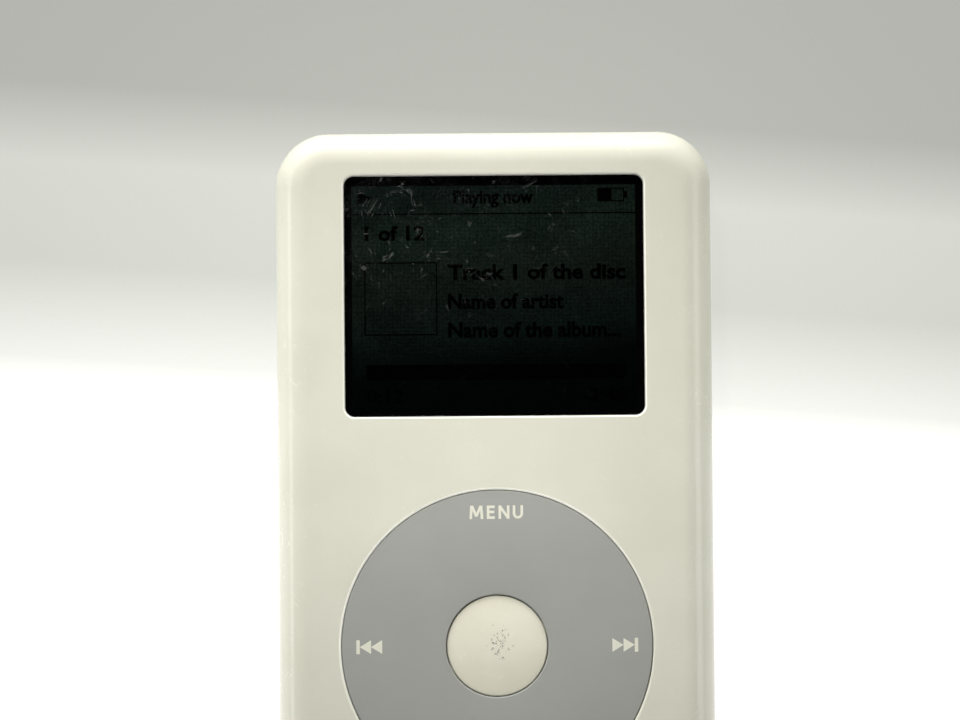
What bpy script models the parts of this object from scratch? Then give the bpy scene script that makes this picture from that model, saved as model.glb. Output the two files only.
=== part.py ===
"""Pocket digital audio player with a colour display, a touch wheel and a small hard drive.

It lies on its polished back. The origin is the middle of the back, on the surface it lies on.
+Z points out of the display, +Y towards the headphone end and +X to the right of the display.
Every size is in metres. The case is as deep as the pieces stacked up in it.
"""

import math

import bmesh
import bpy
from mathutils import Vector

MM = 0.001

# Case: the outside, its two shells and the gaps that pieces keep
CASE_WIDTH = 61.0 * MM
CASE_LENGTH = 104.0 * MM
CORNER_RADIUS = 7.5 * MM
FRONT_EDGE_RADIUS = 4.4 * MM
BACK_EDGE_RADIUS = 4.2 * MM
FRONT_SIDE_HEIGHT = 6.2 * MM
FRONT_WALL = 1.6 * MM
STEEL_WALL = 0.6 * MM
SEAM = 0.15 * MM
REST_GAP = 0.3 * MM
THIN_GAP = 0.1 * MM
SLIP = 0.12 * MM
CUT_PAST = 1.0 * MM

# Face layout: the window takes what these leave of the face
WINDOW_TOP_MARGIN = 6.2 * MM
WINDOW_SIDE_MARGIN = 9.6 * MM
WINDOW_CORNER = 1.4 * MM
WINDOW_TO_WHEEL = 10.2 * MM
WHEEL_DIAMETER = 43.3 * MM
WHEEL_BOTTOM_MARGIN = 10.7 * MM

# Snap fit of the two shells, along the long sides
SKIRT_LENGTH = 78.0 * MM
SKIRT_DROP = 1.5 * MM
SKIRT_THICKNESS = 0.85 * MM
HOOKS_PER_SIDE = 4
HOOK_LENGTH = 5.0 * MM
HOOK_HEIGHT = 0.4 * MM
HOOK_REACH = 0.5 * MM
CLIP_RAIL_THICKNESS = 0.3 * MM

# Display, from the window inwards
WINDOW_FLANGE = 1.0 * MM
WINDOW_FLANGE_THICKNESS = 0.5 * MM
MASK_SIDE_BORDER = 1.05 * MM
MASK_TOP_BORDER = 1.3 * MM
MASK_BOTTOM_BORDER = 0.65 * MM
GASKET_THICKNESS = 0.3 * MM
PANEL_THICKNESS = 0.8 * MM
PANEL_RIM = 0.5 * MM
BACKLIGHT_THICKNESS = 0.6 * MM
DISPLAY_FRAME_WALL = 0.2 * MM
DISPLAY_STACK = (
    WINDOW_FLANGE_THICKNESS
    + GASKET_THICKNESS
    + PANEL_THICKNESS
    + BACKLIGHT_THICKNESS
    + DISPLAY_FRAME_WALL
    + 5 * THIN_GAP
)

# Touch wheel and the button in its middle
WHEEL_RECESS = 0.15 * MM
WHEEL_ROCK_ROOM = 0.5 * MM
WHEEL_FLANGE = 1.0 * MM
WHEEL_FLANGE_THICKNESS = 0.5 * MM
BUTTON_DIAMETER = 13.8 * MM
BUTTON_GAP = 0.2 * MM
BUTTON_PROUD = 0.1 * MM
BUTTON_TRAVEL = 0.25 * MM
BUTTON_FLANGE = 1.2 * MM
BUTTON_FLANGE_THICKNESS = 0.35 * MM
SENSOR_BOARD_THICKNESS = 0.6 * MM
SENSOR_CHIP = (4.0 * MM, 4.0 * MM, 0.4 * MM)
DOME_RADIUS = 2.2 * MM
DOME_HEIGHT = 0.25 * MM
DOME_INSET = 5.2 * MM
DOME_GAP = 0.05 * MM
PIP_HEIGHT = 0.3 * MM
ROCKER_INNER_RADIUS = 8.0 * MM
ROCKER_OUTER_RADIUS = 11.0 * MM
ROCKER_THICKNESS = 0.6 * MM
ROCKER_GAP = 0.2 * MM
WHEEL_PLATE_THICKNESS = 0.25 * MM
WHEEL_STACK = (
    WHEEL_ROCK_ROOM
    + WHEEL_FLANGE_THICKNESS
    + THIN_GAP
    + SENSOR_BOARD_THICKNESS
    + ROCKER_THICKNESS
    + 2 * ROCKER_GAP
    + WHEEL_PLATE_THICKNESS
)

# Frame, main board and the screws that hold them to the front cover
MID_FRAME_THICKNESS = 0.7 * MM
BOARD_THICKNESS = 0.8 * MM
BOARD_SIDE_GAP = 0.9 * MM
BOARD_END_GAP = 0.6 * MM
POST_RADIUS = 1.6 * MM
POST_SIDE_GAP = 1.0 * MM
SCREW_RADIUS = 0.5 * MM
SCREW_HEAD_RADIUS = 1.15 * MM
SCREW_HEAD_HEIGHT = 0.5 * MM
SCREW_RECESS = 0.3 * MM
SCREW_HOLE_GAP = 0.1 * MM
SCREW_BITE = 1.6 * MM
CHIP_THICKNESS = 1.0 * MM
CHIP_GAP = 2.0 * MM
CHIP_ROWS = (
    (("processor_chip", 11.0 * MM, 11.0 * MM), ("memory_chip", 13.0 * MM, 8.0 * MM)),
    (("audio_chip", 7.0 * MM, 7.0 * MM), ("power_chip", 8.0 * MM, 6.0 * MM)),
)
SOCKET_WIDTH = 2.4 * MM
FLEX_THICKNESS = 0.15 * MM
DISPLAY_FLEX_WIDTH = 12.0 * MM
DISPLAY_FLEX_REACH = 2.6 * MM
WHEEL_FLEX_X = (4.0 * MM, 10.0 * MM)
WHEEL_FLEX_OVERLAP = 7.0 * MM

# Battery and its leads
BATTERY_WIDTH = 36.0 * MM
BATTERY_LENGTH = 54.0 * MM
BATTERY_THICKNESS = 3.2 * MM
BATTERY_EDGE = 1.3 * MM
PLUG_SIZE = (5.0 * MM, 3.4 * MM)
LEAD_RADIUS = 0.4 * MM
LEAD_SPACING = 1.6 * MM

# Hard drive; its width and length are what the case leaves for it
DRIVE_HEIGHT = 4.95 * MM
DRIVE_PAD_THICKNESS = 0.6 * MM
DRIVE_PAD_INSET = 3.0 * MM
BUMPER_THICKNESS = 1.2 * MM
BUMPER_SIDE_GAP = 1.6 * MM
BUMPER_END_INSET = 4.0 * MM
DRIVE_BOARD_THICKNESS = 0.4 * MM
DRIVE_BOARD_INSET = 7.0 * MM
DRIVE_FLOOR = 0.5 * MM
DRIVE_WALL = 1.2 * MM
DRIVE_LID = 0.4 * MM
DRIVE_CORNER = 2.0 * MM
PLATTER_THICKNESS = 0.5 * MM
PLATTER_EDGE_GAP = 1.8 * MM
HUB_RADIUS = 6.0 * MM
HUB_FLANGE = 1.5 * MM
HUB_SEAT = 1.2 * MM
ARM_ROOM = 20.0 * MM
ARM_PIVOT_RADIUS = 2.6 * MM
ARM_PIVOT_INSET = (8.8 * MM, 15.3 * MM)
ARM_BLADE = (5.0 * MM, 2.0 * MM, 0.25 * MM)
ARM_HEAD_GAP = 0.12 * MM
ARM_PARK_GAP = 2.4 * MM
ARM_INNER_TRACK = 9.5 * MM
COIL_LENGTH = 7.0 * MM
COIL_WIDTH = 6.4 * MM
MAGNET_THICKNESS = 0.7 * MM
DRIVE_FLEX_WIDTH = 26.0 * MM
FLEX_ROOM = 3.6 * MM

# Headphone end: end plate, jack, remote socket and hold switch
END_FLANGE = 1.0 * MM
END_FLANGE_THICKNESS = 0.9 * MM
NOTCH_CORNER = 2.2 * MM
TOP_PLATE_WIDTH = 42.0 * MM
JACK_X = 14.6 * MM
JACK_BORE_RADIUS = 1.8 * MM
JACK_RADIUS = 2.6 * MM
JACK_LENGTH = 12.0 * MM
JACK_BODY_LENGTH = 8.0 * MM
REMOTE_X = 7.0 * MM
REMOTE_SLOT = (5.6 * MM, 1.6 * MM)
REMOTE_WALL = 0.4 * MM
REMOTE_LENGTH = 6.0 * MM
HOLD_X = -12.4 * MM
HOLD_SLOT = (9.6 * MM, 2.6 * MM)
HOLD_TRAVEL = 3.0 * MM
HOLD_KNOB_GAP = 0.2 * MM
HOLD_KNOB_RECESS = 0.1 * MM
HOLD_PLATE_THICKNESS = 0.8 * MM
HOLD_PLATE_MARGIN = 1.6 * MM
HOLD_TONGUE = (1.2 * MM, 1.0 * MM, 1.5 * MM)
HOLD_SWITCH = (10.0 * MM, 5.0 * MM)
TOP_FLEX_TAIL = 7.0 * MM

# Dock end: end plate and the connector behind it
DOCK_TRIM_WIDTH = 28.0 * MM
DOCK_SLOT = (22.0 * MM, 2.9 * MM)
DOCK_SHELL_WALL = 0.3 * MM
DOCK_DEPTH = 7.0 * MM
DOCK_TONGUE = (20.0 * MM, 0.9 * MM)
DOCK_TONGUE_SETBACK = 0.8 * MM

# How finely round shapes are faceted
CORNER_STEPS = 8
EDGE_STEPS = 6
WHEEL_STEPS = 64
ROUND_STEPS = 32
SMALL_STEPS = 16
SHARP_ANGLE = math.radians(35)


def under(top, gap, thickness):
    """The z span of a layer of this thickness that lies this gap under top."""
    return top - gap - thickness, top - gap


def over(base, gap, thickness):
    """The z span of a layer of this thickness that lies this gap over base."""
    return base + gap, base + gap + thickness


# Layers from the back up to the inside of the front
DRIVE_PAD_Z = over(STEEL_WALL, REST_GAP, DRIVE_PAD_THICKNESS)
DRIVE_BOARD_Z = over(DRIVE_PAD_Z[1], REST_GAP, DRIVE_BOARD_THICKNESS)
DRIVE_TOP = DRIVE_BOARD_Z[0] + DRIVE_HEIGHT
BATTERY_Z = over(DRIVE_TOP, REST_GAP, BATTERY_THICKNESS)
BOARD_Z = over(BATTERY_Z[1], REST_GAP, BOARD_THICKNESS)
FRONT_INSIDE = BOARD_Z[1] + THIN_GAP + max(DISPLAY_STACK, WHEEL_STACK)
CASE_DEPTH = FRONT_INSIDE + FRONT_WALL
SEAM_TOP = CASE_DEPTH - FRONT_SIDE_HEIGHT
SEAM_LOW = SEAM_TOP - SEAM
CHIP_Z = under(BOARD_Z[0], THIN_GAP, CHIP_THICKNESS)

# Layers of the display, hung from the inside of the front
WINDOW_FLANGE_Z = under(FRONT_INSIDE, THIN_GAP, WINDOW_FLANGE_THICKNESS)
GASKET_Z = under(WINDOW_FLANGE_Z[0], THIN_GAP, GASKET_THICKNESS)
PANEL_Z = under(GASKET_Z[0], THIN_GAP, PANEL_THICKNESS)
BACKLIGHT_Z = under(PANEL_Z[0], THIN_GAP, BACKLIGHT_THICKNESS)
DISPLAY_FLOOR_Z = under(BACKLIGHT_Z[0], THIN_GAP, DISPLAY_FRAME_WALL)
MID_FRAME_Z = over(BOARD_Z[1], 1.5 * THIN_GAP, MID_FRAME_THICKNESS)

# Layers of the wheel, hung from the inside of the front
WHEEL_TOP = CASE_DEPTH - WHEEL_RECESS
WHEEL_FLANGE_Z = under(FRONT_INSIDE, WHEEL_ROCK_ROOM, WHEEL_FLANGE_THICKNESS)
SENSOR_BOARD_Z = under(WHEEL_FLANGE_Z[0], THIN_GAP, SENSOR_BOARD_THICKNESS)
KEY_DOME_Z = under(SENSOR_BOARD_Z[0], DOME_GAP, DOME_HEIGHT)
SELECT_DOME_Z = over(SENSOR_BOARD_Z[1], DOME_GAP, DOME_HEIGHT)
BUTTON_FLANGE_Z = over(SELECT_DOME_Z[1], BUTTON_TRAVEL + THIN_GAP, BUTTON_FLANGE_THICKNESS)
ROCKER_Z = under(SENSOR_BOARD_Z[0], ROCKER_GAP, ROCKER_THICKNESS)
ROCK_PIVOT_Z = sum(ROCKER_Z) / 2
WHEEL_PLATE_Z = under(ROCKER_Z[0], ROCKER_GAP, WHEEL_PLATE_THICKNESS)

# Layers of the hard drive
DRIVE_BASE_Z = (DRIVE_BOARD_Z[1] + THIN_GAP, DRIVE_TOP - DRIVE_LID - THIN_GAP)
DRIVE_INSIDE_Z = DRIVE_BASE_Z[0] + DRIVE_FLOOR
HUB_LOW = DRIVE_INSIDE_Z + 2 * THIN_GAP
PLATTER_Z = over(HUB_LOW + HUB_SEAT, THIN_GAP, PLATTER_THICKNESS)
ARM_BLADE_Z = over(PLATTER_Z[1], ARM_HEAD_GAP, ARM_BLADE[2])
MAGNET_Z = over(ARM_BLADE_Z[1], THIN_GAP, MAGNET_THICKNESS)

# Places in the plan
HALF_WIDTH = CASE_WIDTH / 2
HALF_LENGTH = CASE_LENGTH / 2
WHEEL_RADIUS = WHEEL_DIAMETER / 2
WHEEL_Y = -HALF_LENGTH + WHEEL_BOTTOM_MARGIN + WHEEL_RADIUS
WINDOW_Y = (WHEEL_Y + WHEEL_RADIUS + WINDOW_TO_WHEEL, HALF_LENGTH - WINDOW_TOP_MARGIN)
WINDOW_HALF_WIDTH = HALF_WIDTH - WINDOW_SIDE_MARGIN
BUTTON_RADIUS = BUTTON_DIAMETER / 2
WHEEL_BORE_RADIUS = BUTTON_RADIUS + BUTTON_GAP
RING_RADIUS = WHEEL_RADIUS - SLIP
DOME_RING_RADIUS = RING_RADIUS - DOME_INSET
KEYS = {"menu": (0, 1), "play": (0, -1), "next": (1, 0), "previous": (-1, 0)}
VIEW_HALF_WIDTH = WINDOW_HALF_WIDTH - MASK_SIDE_BORDER
VIEW_Y = (WINDOW_Y[0] + MASK_BOTTOM_BORDER, WINDOW_Y[1] - MASK_TOP_BORDER)
PANEL_HALF_WIDTH = VIEW_HALF_WIDTH + PANEL_RIM
PANEL_Y = (VIEW_Y[0] - PANEL_RIM, VIEW_Y[1] + PANEL_RIM)
TRAY_REACH = THIN_GAP + DISPLAY_FRAME_WALL
TRAY_HALF_WIDTH = PANEL_HALF_WIDTH + TRAY_REACH
TRAY_Y = (PANEL_Y[0] - TRAY_REACH, PANEL_Y[1] + TRAY_REACH)

BOARD_HALF_WIDTH = HALF_WIDTH - FRONT_WALL - BOARD_SIDE_GAP
BOARD_HALF_LENGTH = HALF_LENGTH - FRONT_WALL - BOARD_END_GAP
BOARD_CORNER = CORNER_RADIUS - FRONT_WALL
POST_X = HALF_WIDTH - FRONT_WALL - POST_RADIUS - POST_SIDE_GAP
POST_YS = (
    BOARD_HALF_LENGTH - BOARD_CORNER,
    WINDOW_Y[0] - WINDOW_TO_WHEEL / 2,
    -BOARD_HALF_LENGTH + BOARD_CORNER,
)
POST_PLACES = [(side * POST_X, y) for y in POST_YS for side in (-1, 1)]
POST_Z = (MID_FRAME_Z[1] + THIN_GAP, FRONT_INSIDE + FRONT_WALL / 4)

NOTCH_LOW = BACK_EDGE_RADIUS
NOTCH_MID_Z = (NOTCH_LOW + SEAM_LOW) / 2
END_PLATE_INSIDE = HALF_LENGTH - STEEL_WALL - REST_GAP - END_FLANGE_THICKNESS
SOCKET_MOUTH = END_PLATE_INSIDE - THIN_GAP
JACK_END = SOCKET_MOUTH - JACK_LENGTH
DOCK_END = -SOCKET_MOUTH + DOCK_DEPTH
TOP_SEAT_Z = NOTCH_MID_Z - JACK_RADIUS

DRIVE_HALF_WIDTH = HALF_WIDTH - STEEL_WALL - BUMPER_SIDE_GAP - BUMPER_THICKNESS - THIN_GAP
DRIVE_Y = (DOCK_END + REST_GAP, JACK_END - FLEX_ROOM)
CAVITY_HALF_WIDTH = DRIVE_HALF_WIDTH - DRIVE_WALL
CAVITY_Y = (DRIVE_Y[0] + DRIVE_WALL, DRIVE_Y[1] - DRIVE_WALL)
PLATTER_ROOM = min(2 * CAVITY_HALF_WIDTH, CAVITY_Y[1] - CAVITY_Y[0] - ARM_ROOM)
PLATTER_RADIUS = PLATTER_ROOM / 2 - PLATTER_EDGE_GAP
SPINDLE = Vector((0, CAVITY_Y[0] + PLATTER_EDGE_GAP + PLATTER_RADIUS))
ARM_PIVOT = Vector((CAVITY_HALF_WIDTH - ARM_PIVOT_INSET[0], CAVITY_Y[1] - ARM_PIVOT_INSET[1]))
BATTERY_Y = (DRIVE_Y[0], DRIVE_Y[0] + BATTERY_LENGTH)


def finish(name, colour, roughness, metallic=0.0, alpha=1.0):
    """A material with one Principled BSDF."""
    material = bpy.data.materials.new(name)
    material.use_nodes = True
    shader = material.node_tree.nodes["Principled BSDF"]
    shader.inputs["Base Color"].default_value = (*colour, 1.0)
    shader.inputs["Roughness"].default_value = roughness
    shader.inputs["Metallic"].default_value = metallic
    shader.inputs["Alpha"].default_value = alpha
    return material


def new_collection(name, hidden=False):
    collection = bpy.data.collections.new(name)
    collection.hide_render = hidden
    bpy.context.scene.collection.children.link(collection)
    return collection


for old in list(bpy.data.objects):
    bpy.data.objects.remove(old, do_unlink=True)
PARTS = new_collection("audio_player")
CUTTERS = new_collection("cutters", hidden=True)

IVORY_COVER = finish("ivory_cover", (0.78, 0.77, 0.70), 0.22)
WHITE_TRIM = finish("white_trim", (0.80, 0.79, 0.74), 0.35)
POLISHED_STEEL = finish("polished_steel", (0.72, 0.72, 0.73), 0.06, metallic=1.0)
SHEET_STEEL = finish("sheet_steel", (0.55, 0.55, 0.56), 0.35, metallic=1.0)
SCREW_STEEL = finish("screw_steel", (0.30, 0.30, 0.31), 0.40, metallic=1.0)
CLEAR_WINDOW = finish("clear_window", (0.90, 0.90, 0.90), 0.05, alpha=0.35)
BLACK_FOAM = finish("black_foam", (0.01, 0.01, 0.01), 0.90)
DISPLAY_GLASS = finish("display_glass", (0.02, 0.03, 0.03), 0.15)
LIGHT_GUIDE = finish("light_guide", (0.85, 0.86, 0.88), 0.40)
WHEEL_GREY = finish("wheel_grey", (0.33, 0.33, 0.33), 0.50)
BOARD_GREEN = finish("board_green", (0.03, 0.16, 0.08), 0.45)
CHIP_BLACK = finish("chip_black", (0.02, 0.02, 0.02), 0.50)
FLEX_AMBER = finish("flex_amber", (0.55, 0.22, 0.04), 0.35)
BUMPER_BLUE = finish("bumper_blue", (0.04, 0.11, 0.35), 0.70)
BLACK_RUBBER = finish("black_rubber", (0.02, 0.02, 0.02), 0.80)
CELL_SILVER = finish("cell_silver", (0.60, 0.60, 0.60), 0.35, metallic=0.8)
CAST_METAL = finish("cast_metal", (0.55, 0.56, 0.57), 0.45, metallic=1.0)
PLATTER_MIRROR = finish("platter_mirror", (0.75, 0.74, 0.72), 0.03, metallic=1.0)
LEAD_RED = finish("lead_red", (0.50, 0.02, 0.02), 0.50)
LEAD_BLACK = finish("lead_black", (0.02, 0.02, 0.02), 0.50)


def add_object(name, mesh, material, place=(0, 0, 0)):
    """Turns a bmesh into an object. One without a material only cuts or is joined to others."""
    data = bpy.data.meshes.new(name)
    mesh.to_mesh(data)
    mesh.free()
    obj = bpy.data.objects.new(name, data)
    obj.location = place
    if material is None:
        CUTTERS.objects.link(obj)
        obj.hide_render = True
        obj.display_type = "WIRE"
        return obj
    data.materials.append(material)
    data.shade_smooth()
    data.set_sharp_from_angle(angle=SHARP_ANGLE)
    PARTS.objects.link(obj)
    return obj


def bevel_edges(mesh, edges, radius, steps):
    bmesh.ops.bevel(
        mesh,
        geom=edges,
        offset=radius,
        segments=steps,
        profile=0.5,
        affect="EDGES",
        clamp_overlap=False,
        material=-1,
    )


def edges_along(mesh, axis):
    """The edges that run along one axis."""
    runs = {edge: edge.verts[1].co - edge.verts[0].co for edge in mesh.edges}
    return [edge for edge, run in runs.items() if abs(run[axis]) > 0.999 * run.length]


def faces_at_height(mesh, height):
    return [f for f in mesh.faces if all(abs(v.co.z - height) < 1e-7 for v in f.verts)]


def edges_at_height(mesh, height):
    return [edge for face in faces_at_height(mesh, height) for edge in face.edges]


def span(side, near, far):
    """The span from near to far on one side of the middle."""
    return tuple(sorted((side * near, side * far)))


def around(middle, size):
    """The span of this size with this middle."""
    return middle - size / 2, middle + size / 2


def block(name, x, y, z, material=None, corner=0.0, axis=2, front_edge=0.0, back_edge=0.0):
    """A box over three spans, with the edges along one axis and those of its two faces rounded."""
    low, high = (Vector(ends) for ends in zip(x, y, z))
    size = high - low
    mesh = bmesh.new()
    bmesh.ops.create_cube(mesh, size=1.0)
    bmesh.ops.scale(mesh, vec=size, verts=mesh.verts)
    if corner:
        bevel_edges(mesh, edges_along(mesh, axis), corner, CORNER_STEPS)
    if front_edge:
        bevel_edges(mesh, edges_at_height(mesh, size.z / 2), front_edge, EDGE_STEPS)
    if back_edge:
        bevel_edges(mesh, edges_at_height(mesh, -size.z / 2), back_edge, EDGE_STEPS)
    return add_object(name, mesh, material, (low + high) / 2)


def disc(name, radius, z, material=None, centre=(0.0, 0.0), steps=ROUND_STEPS):
    """An upright cylinder."""
    mesh = bmesh.new()
    bmesh.ops.create_cone(
        mesh, cap_ends=True, segments=steps, radius1=radius, radius2=radius, depth=z[1] - z[0]
    )
    return add_object(name, mesh, material, (*centre, sum(z) / 2))


def rod(name, radius, x, y, z, material=None, steps=ROUND_STEPS):
    """A cylinder along Y, over the span y and centred on x and z."""
    obj = disc(name, radius, (0, y[1] - y[0]), material, steps=steps)
    obj.rotation_euler.x = math.pi / 2
    obj.location = (x, sum(y) / 2, z)
    return obj


def turned(name, profile, place, material=None, steps=ROUND_STEPS, closed=False):
    """A turned solid. Its (radius, height) points run down its outer side.
    A closed profile comes back up a bore."""
    mesh = bmesh.new()
    points = [mesh.verts.new((radius, 0, height)) for radius, height in profile]
    for start, end in zip(points, points[1:]):
        mesh.edges.new((start, end))
    if closed:
        mesh.edges.new((points[-1], points[0]))
    obj = add_object(name, mesh, material, place)
    screw = obj.modifiers.new("turn", "SCREW")
    screw.axis = "Z"
    screw.angle = 2 * math.pi
    screw.steps = steps
    screw.render_steps = steps
    screw.use_merge_vertices = True
    screw.merge_threshold = 1e-6
    return obj


def thicken(obj, thickness, offset):
    wall = obj.modifiers.new("wall", "SOLIDIFY")
    wall.thickness = thickness
    wall.offset = offset
    wall.use_even_offset = True


def case_shell(name, z, opens_up, edge_radius, wall, material):
    """Half of the case: a rounded block without the face it opens at, with its wall inwards."""
    edges = {"back_edge": edge_radius} if opens_up else {"front_edge": edge_radius}
    shell = block(
        name,
        (-HALF_WIDTH, HALF_WIDTH),
        (-HALF_LENGTH, HALF_LENGTH),
        z,
        material,
        corner=CORNER_RADIUS,
        **edges,
    )
    rim = (z[1] - z[0]) / 2 * (1 if opens_up else -1)
    mesh = bmesh.new()
    mesh.from_mesh(shell.data)
    bmesh.ops.delete(mesh, geom=faces_at_height(mesh, rim), context="FACES")
    mesh.to_mesh(shell.data)
    mesh.free()
    thicken(shell, wall, -1.0)
    return shell


def ribbon(name, path, width, material):
    """A flat cable along (y, z) points, as wide as its span along X."""
    mesh = bmesh.new()
    near = [mesh.verts.new((width[0], y, z)) for y, z in path]
    far = [mesh.verts.new((width[1], y, z)) for y, z in path]
    for i in range(len(path) - 1):
        mesh.faces.new((near[i], near[i + 1], far[i + 1], far[i]))
    cable = add_object(name, mesh, material)
    thicken(cable, FLEX_THICKNESS, 0.0)
    return cable


def lead(name, points, material):
    """A round lead along a smooth curve."""
    curve = bpy.data.curves.new(name, "CURVE")
    curve.dimensions = "3D"
    curve.bevel_depth = LEAD_RADIUS
    curve.bevel_resolution = 2
    curve.resolution_u = 4
    curve.use_fill_caps = True
    spline = curve.splines.new("NURBS")
    spline.points.add(len(points) - 1)
    for point, place in zip(spline.points, points):
        point.co = (*place, 1.0)
    spline.order_u = 4
    spline.use_endpoint_u = True
    curve.materials.append(material)
    PARTS.objects.link(bpy.data.objects.new(name, curve))


def combine(obj, helpers, operation):
    """One exact Boolean for each helper."""
    for helper in helpers:
        step = obj.modifiers.new(helper.name, "BOOLEAN")
        step.operation = operation
        step.object = helper
        step.solver = "EXACT"


def cut(obj, helpers):
    combine(obj, helpers, "DIFFERENCE")


def join(obj, helpers):
    combine(obj, helpers, "UNION")


def carry(name, place, pieces):
    """Hangs pieces, where they are, on an empty on their joint's axis."""
    axis = bpy.data.objects.new(name, None)
    axis.empty_display_size = HUB_RADIUS
    axis.location = place
    PARTS.objects.link(axis)
    for piece in pieces:
        piece.parent = axis
        piece.location -= axis.location


def past(z):
    """A span that reaches past both of its ends, for a hole right through."""
    return z[0] - CUT_PAST, z[1] + CUT_PAST


def hook_middles():
    pitch = SKIRT_LENGTH / HOOKS_PER_SIDE
    return [(i + 0.5) * pitch - SKIRT_LENGTH / 2 for i in range(HOOKS_PER_SIDE)]


def screw_holes(name, z):
    """A hole cutter at each post."""
    radius = SCREW_RADIUS + SCREW_HOLE_GAP
    return [
        disc(f"{name}_{number}", radius, z, centre=place, steps=SMALL_STEPS)
        for number, place in enumerate(POST_PLACES, 1)
    ]


def build_front_cover():
    """The moulded front with its apertures, its snap-fit skirts and its screw posts."""
    cover = case_shell(
        "front_cover", (SEAM_TOP, CASE_DEPTH), False, FRONT_EDGE_RADIUS, FRONT_WALL, IVORY_COVER
    )
    outside = HALF_WIDTH - STEEL_WALL - SLIP
    inside = outside - SKIRT_THICKNESS
    skirt_z = (SEAM_TOP - SKIRT_DROP, SEAM_TOP + SEAM)
    hook_z = over(skirt_z[0], SLIP, HOOK_HEIGHT)
    added = [
        disc(f"post_{number}", POST_RADIUS, POST_Z, centre=place, steps=SMALL_STEPS)
        for number, place in enumerate(POST_PLACES, 1)
    ]
    for side in (-1, 1):
        added.append(block("skirt", span(side, inside, outside), around(0, SKIRT_LENGTH), skirt_z))
        hook_x = span(side, inside - HOOK_REACH, inside + SLIP)
        for middle in hook_middles():
            added.append(block("hook", hook_x, around(middle, HOOK_LENGTH), hook_z))
    join(cover, added)

    through = past((FRONT_INSIDE, CASE_DEPTH))
    window = block(
        "window_aperture",
        (-WINDOW_HALF_WIDTH, WINDOW_HALF_WIDTH),
        WINDOW_Y,
        through,
        corner=WINDOW_CORNER,
    )
    wheel = disc("wheel_aperture", WHEEL_RADIUS, through, centre=(0, WHEEL_Y), steps=WHEEL_STEPS)
    pilot_z = (POST_Z[0] - CUT_PAST, POST_Z[0] + SCREW_BITE + THIN_GAP)
    cut(cover, [window, wheel, *screw_holes("pilot_hole", pilot_z)])


def build_rear_cover():
    """The pressed steel back, with a notch in each end for its end plate."""
    cover = case_shell(
        "rear_cover", (0.0, SEAM_LOW), True, BACK_EDGE_RADIUS, STEEL_WALL, POLISHED_STEEL
    )
    reach = (END_PLATE_INSIDE, HALF_LENGTH + CUT_PAST)
    notch_z = (NOTCH_LOW - SLIP, SEAM_LOW + 2 * NOTCH_CORNER)
    notches = [
        block("end_notch", around(0, width + 2 * SLIP), span(end, *reach), notch_z, None, NOTCH_CORNER, 1)
        for end, width in ((1, TOP_PLATE_WIDTH), (-1, DOCK_TRIM_WIDTH))
    ]
    cut(cover, notches)


def build_clip_rails():
    """Steel strips along the inside of the back, with slots for the front cover's hooks."""
    skirt_inside = HALF_WIDTH - STEEL_WALL - SLIP - SKIRT_THICKNESS
    upright = (skirt_inside - SLIP - CLIP_RAIL_THICKNESS, skirt_inside - SLIP)
    foot_z = under(SEAM_TOP - SKIRT_DROP, REST_GAP, CLIP_RAIL_THICKNESS)
    upright_z = (foot_z[0], SEAM_LOW - THIN_GAP)
    slot_low = SEAM_TOP - SKIRT_DROP
    slot_z = (slot_low, slot_low + HOOK_HEIGHT + 2 * SLIP)
    length = around(0, SKIRT_LENGTH)
    for side, word in ((-1, "left"), (1, "right")):
        rail = block(f"clip_rail_{word}", span(side, *upright), length, upright_z, SHEET_STEEL)
        foot_x = span(side, upright[0], HALF_WIDTH - STEEL_WALL - THIN_GAP)
        join(rail, [block("rail_foot", foot_x, length, foot_z)])
        slot_x = span(side, upright[0] - CUT_PAST, upright[1] + SLIP / 2)
        slots = [
            block("rail_slot", slot_x, around(middle, HOOK_LENGTH + 2 * REST_GAP), slot_z)
            for middle in hook_middles()
        ]
        cut(rail, slots)


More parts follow.
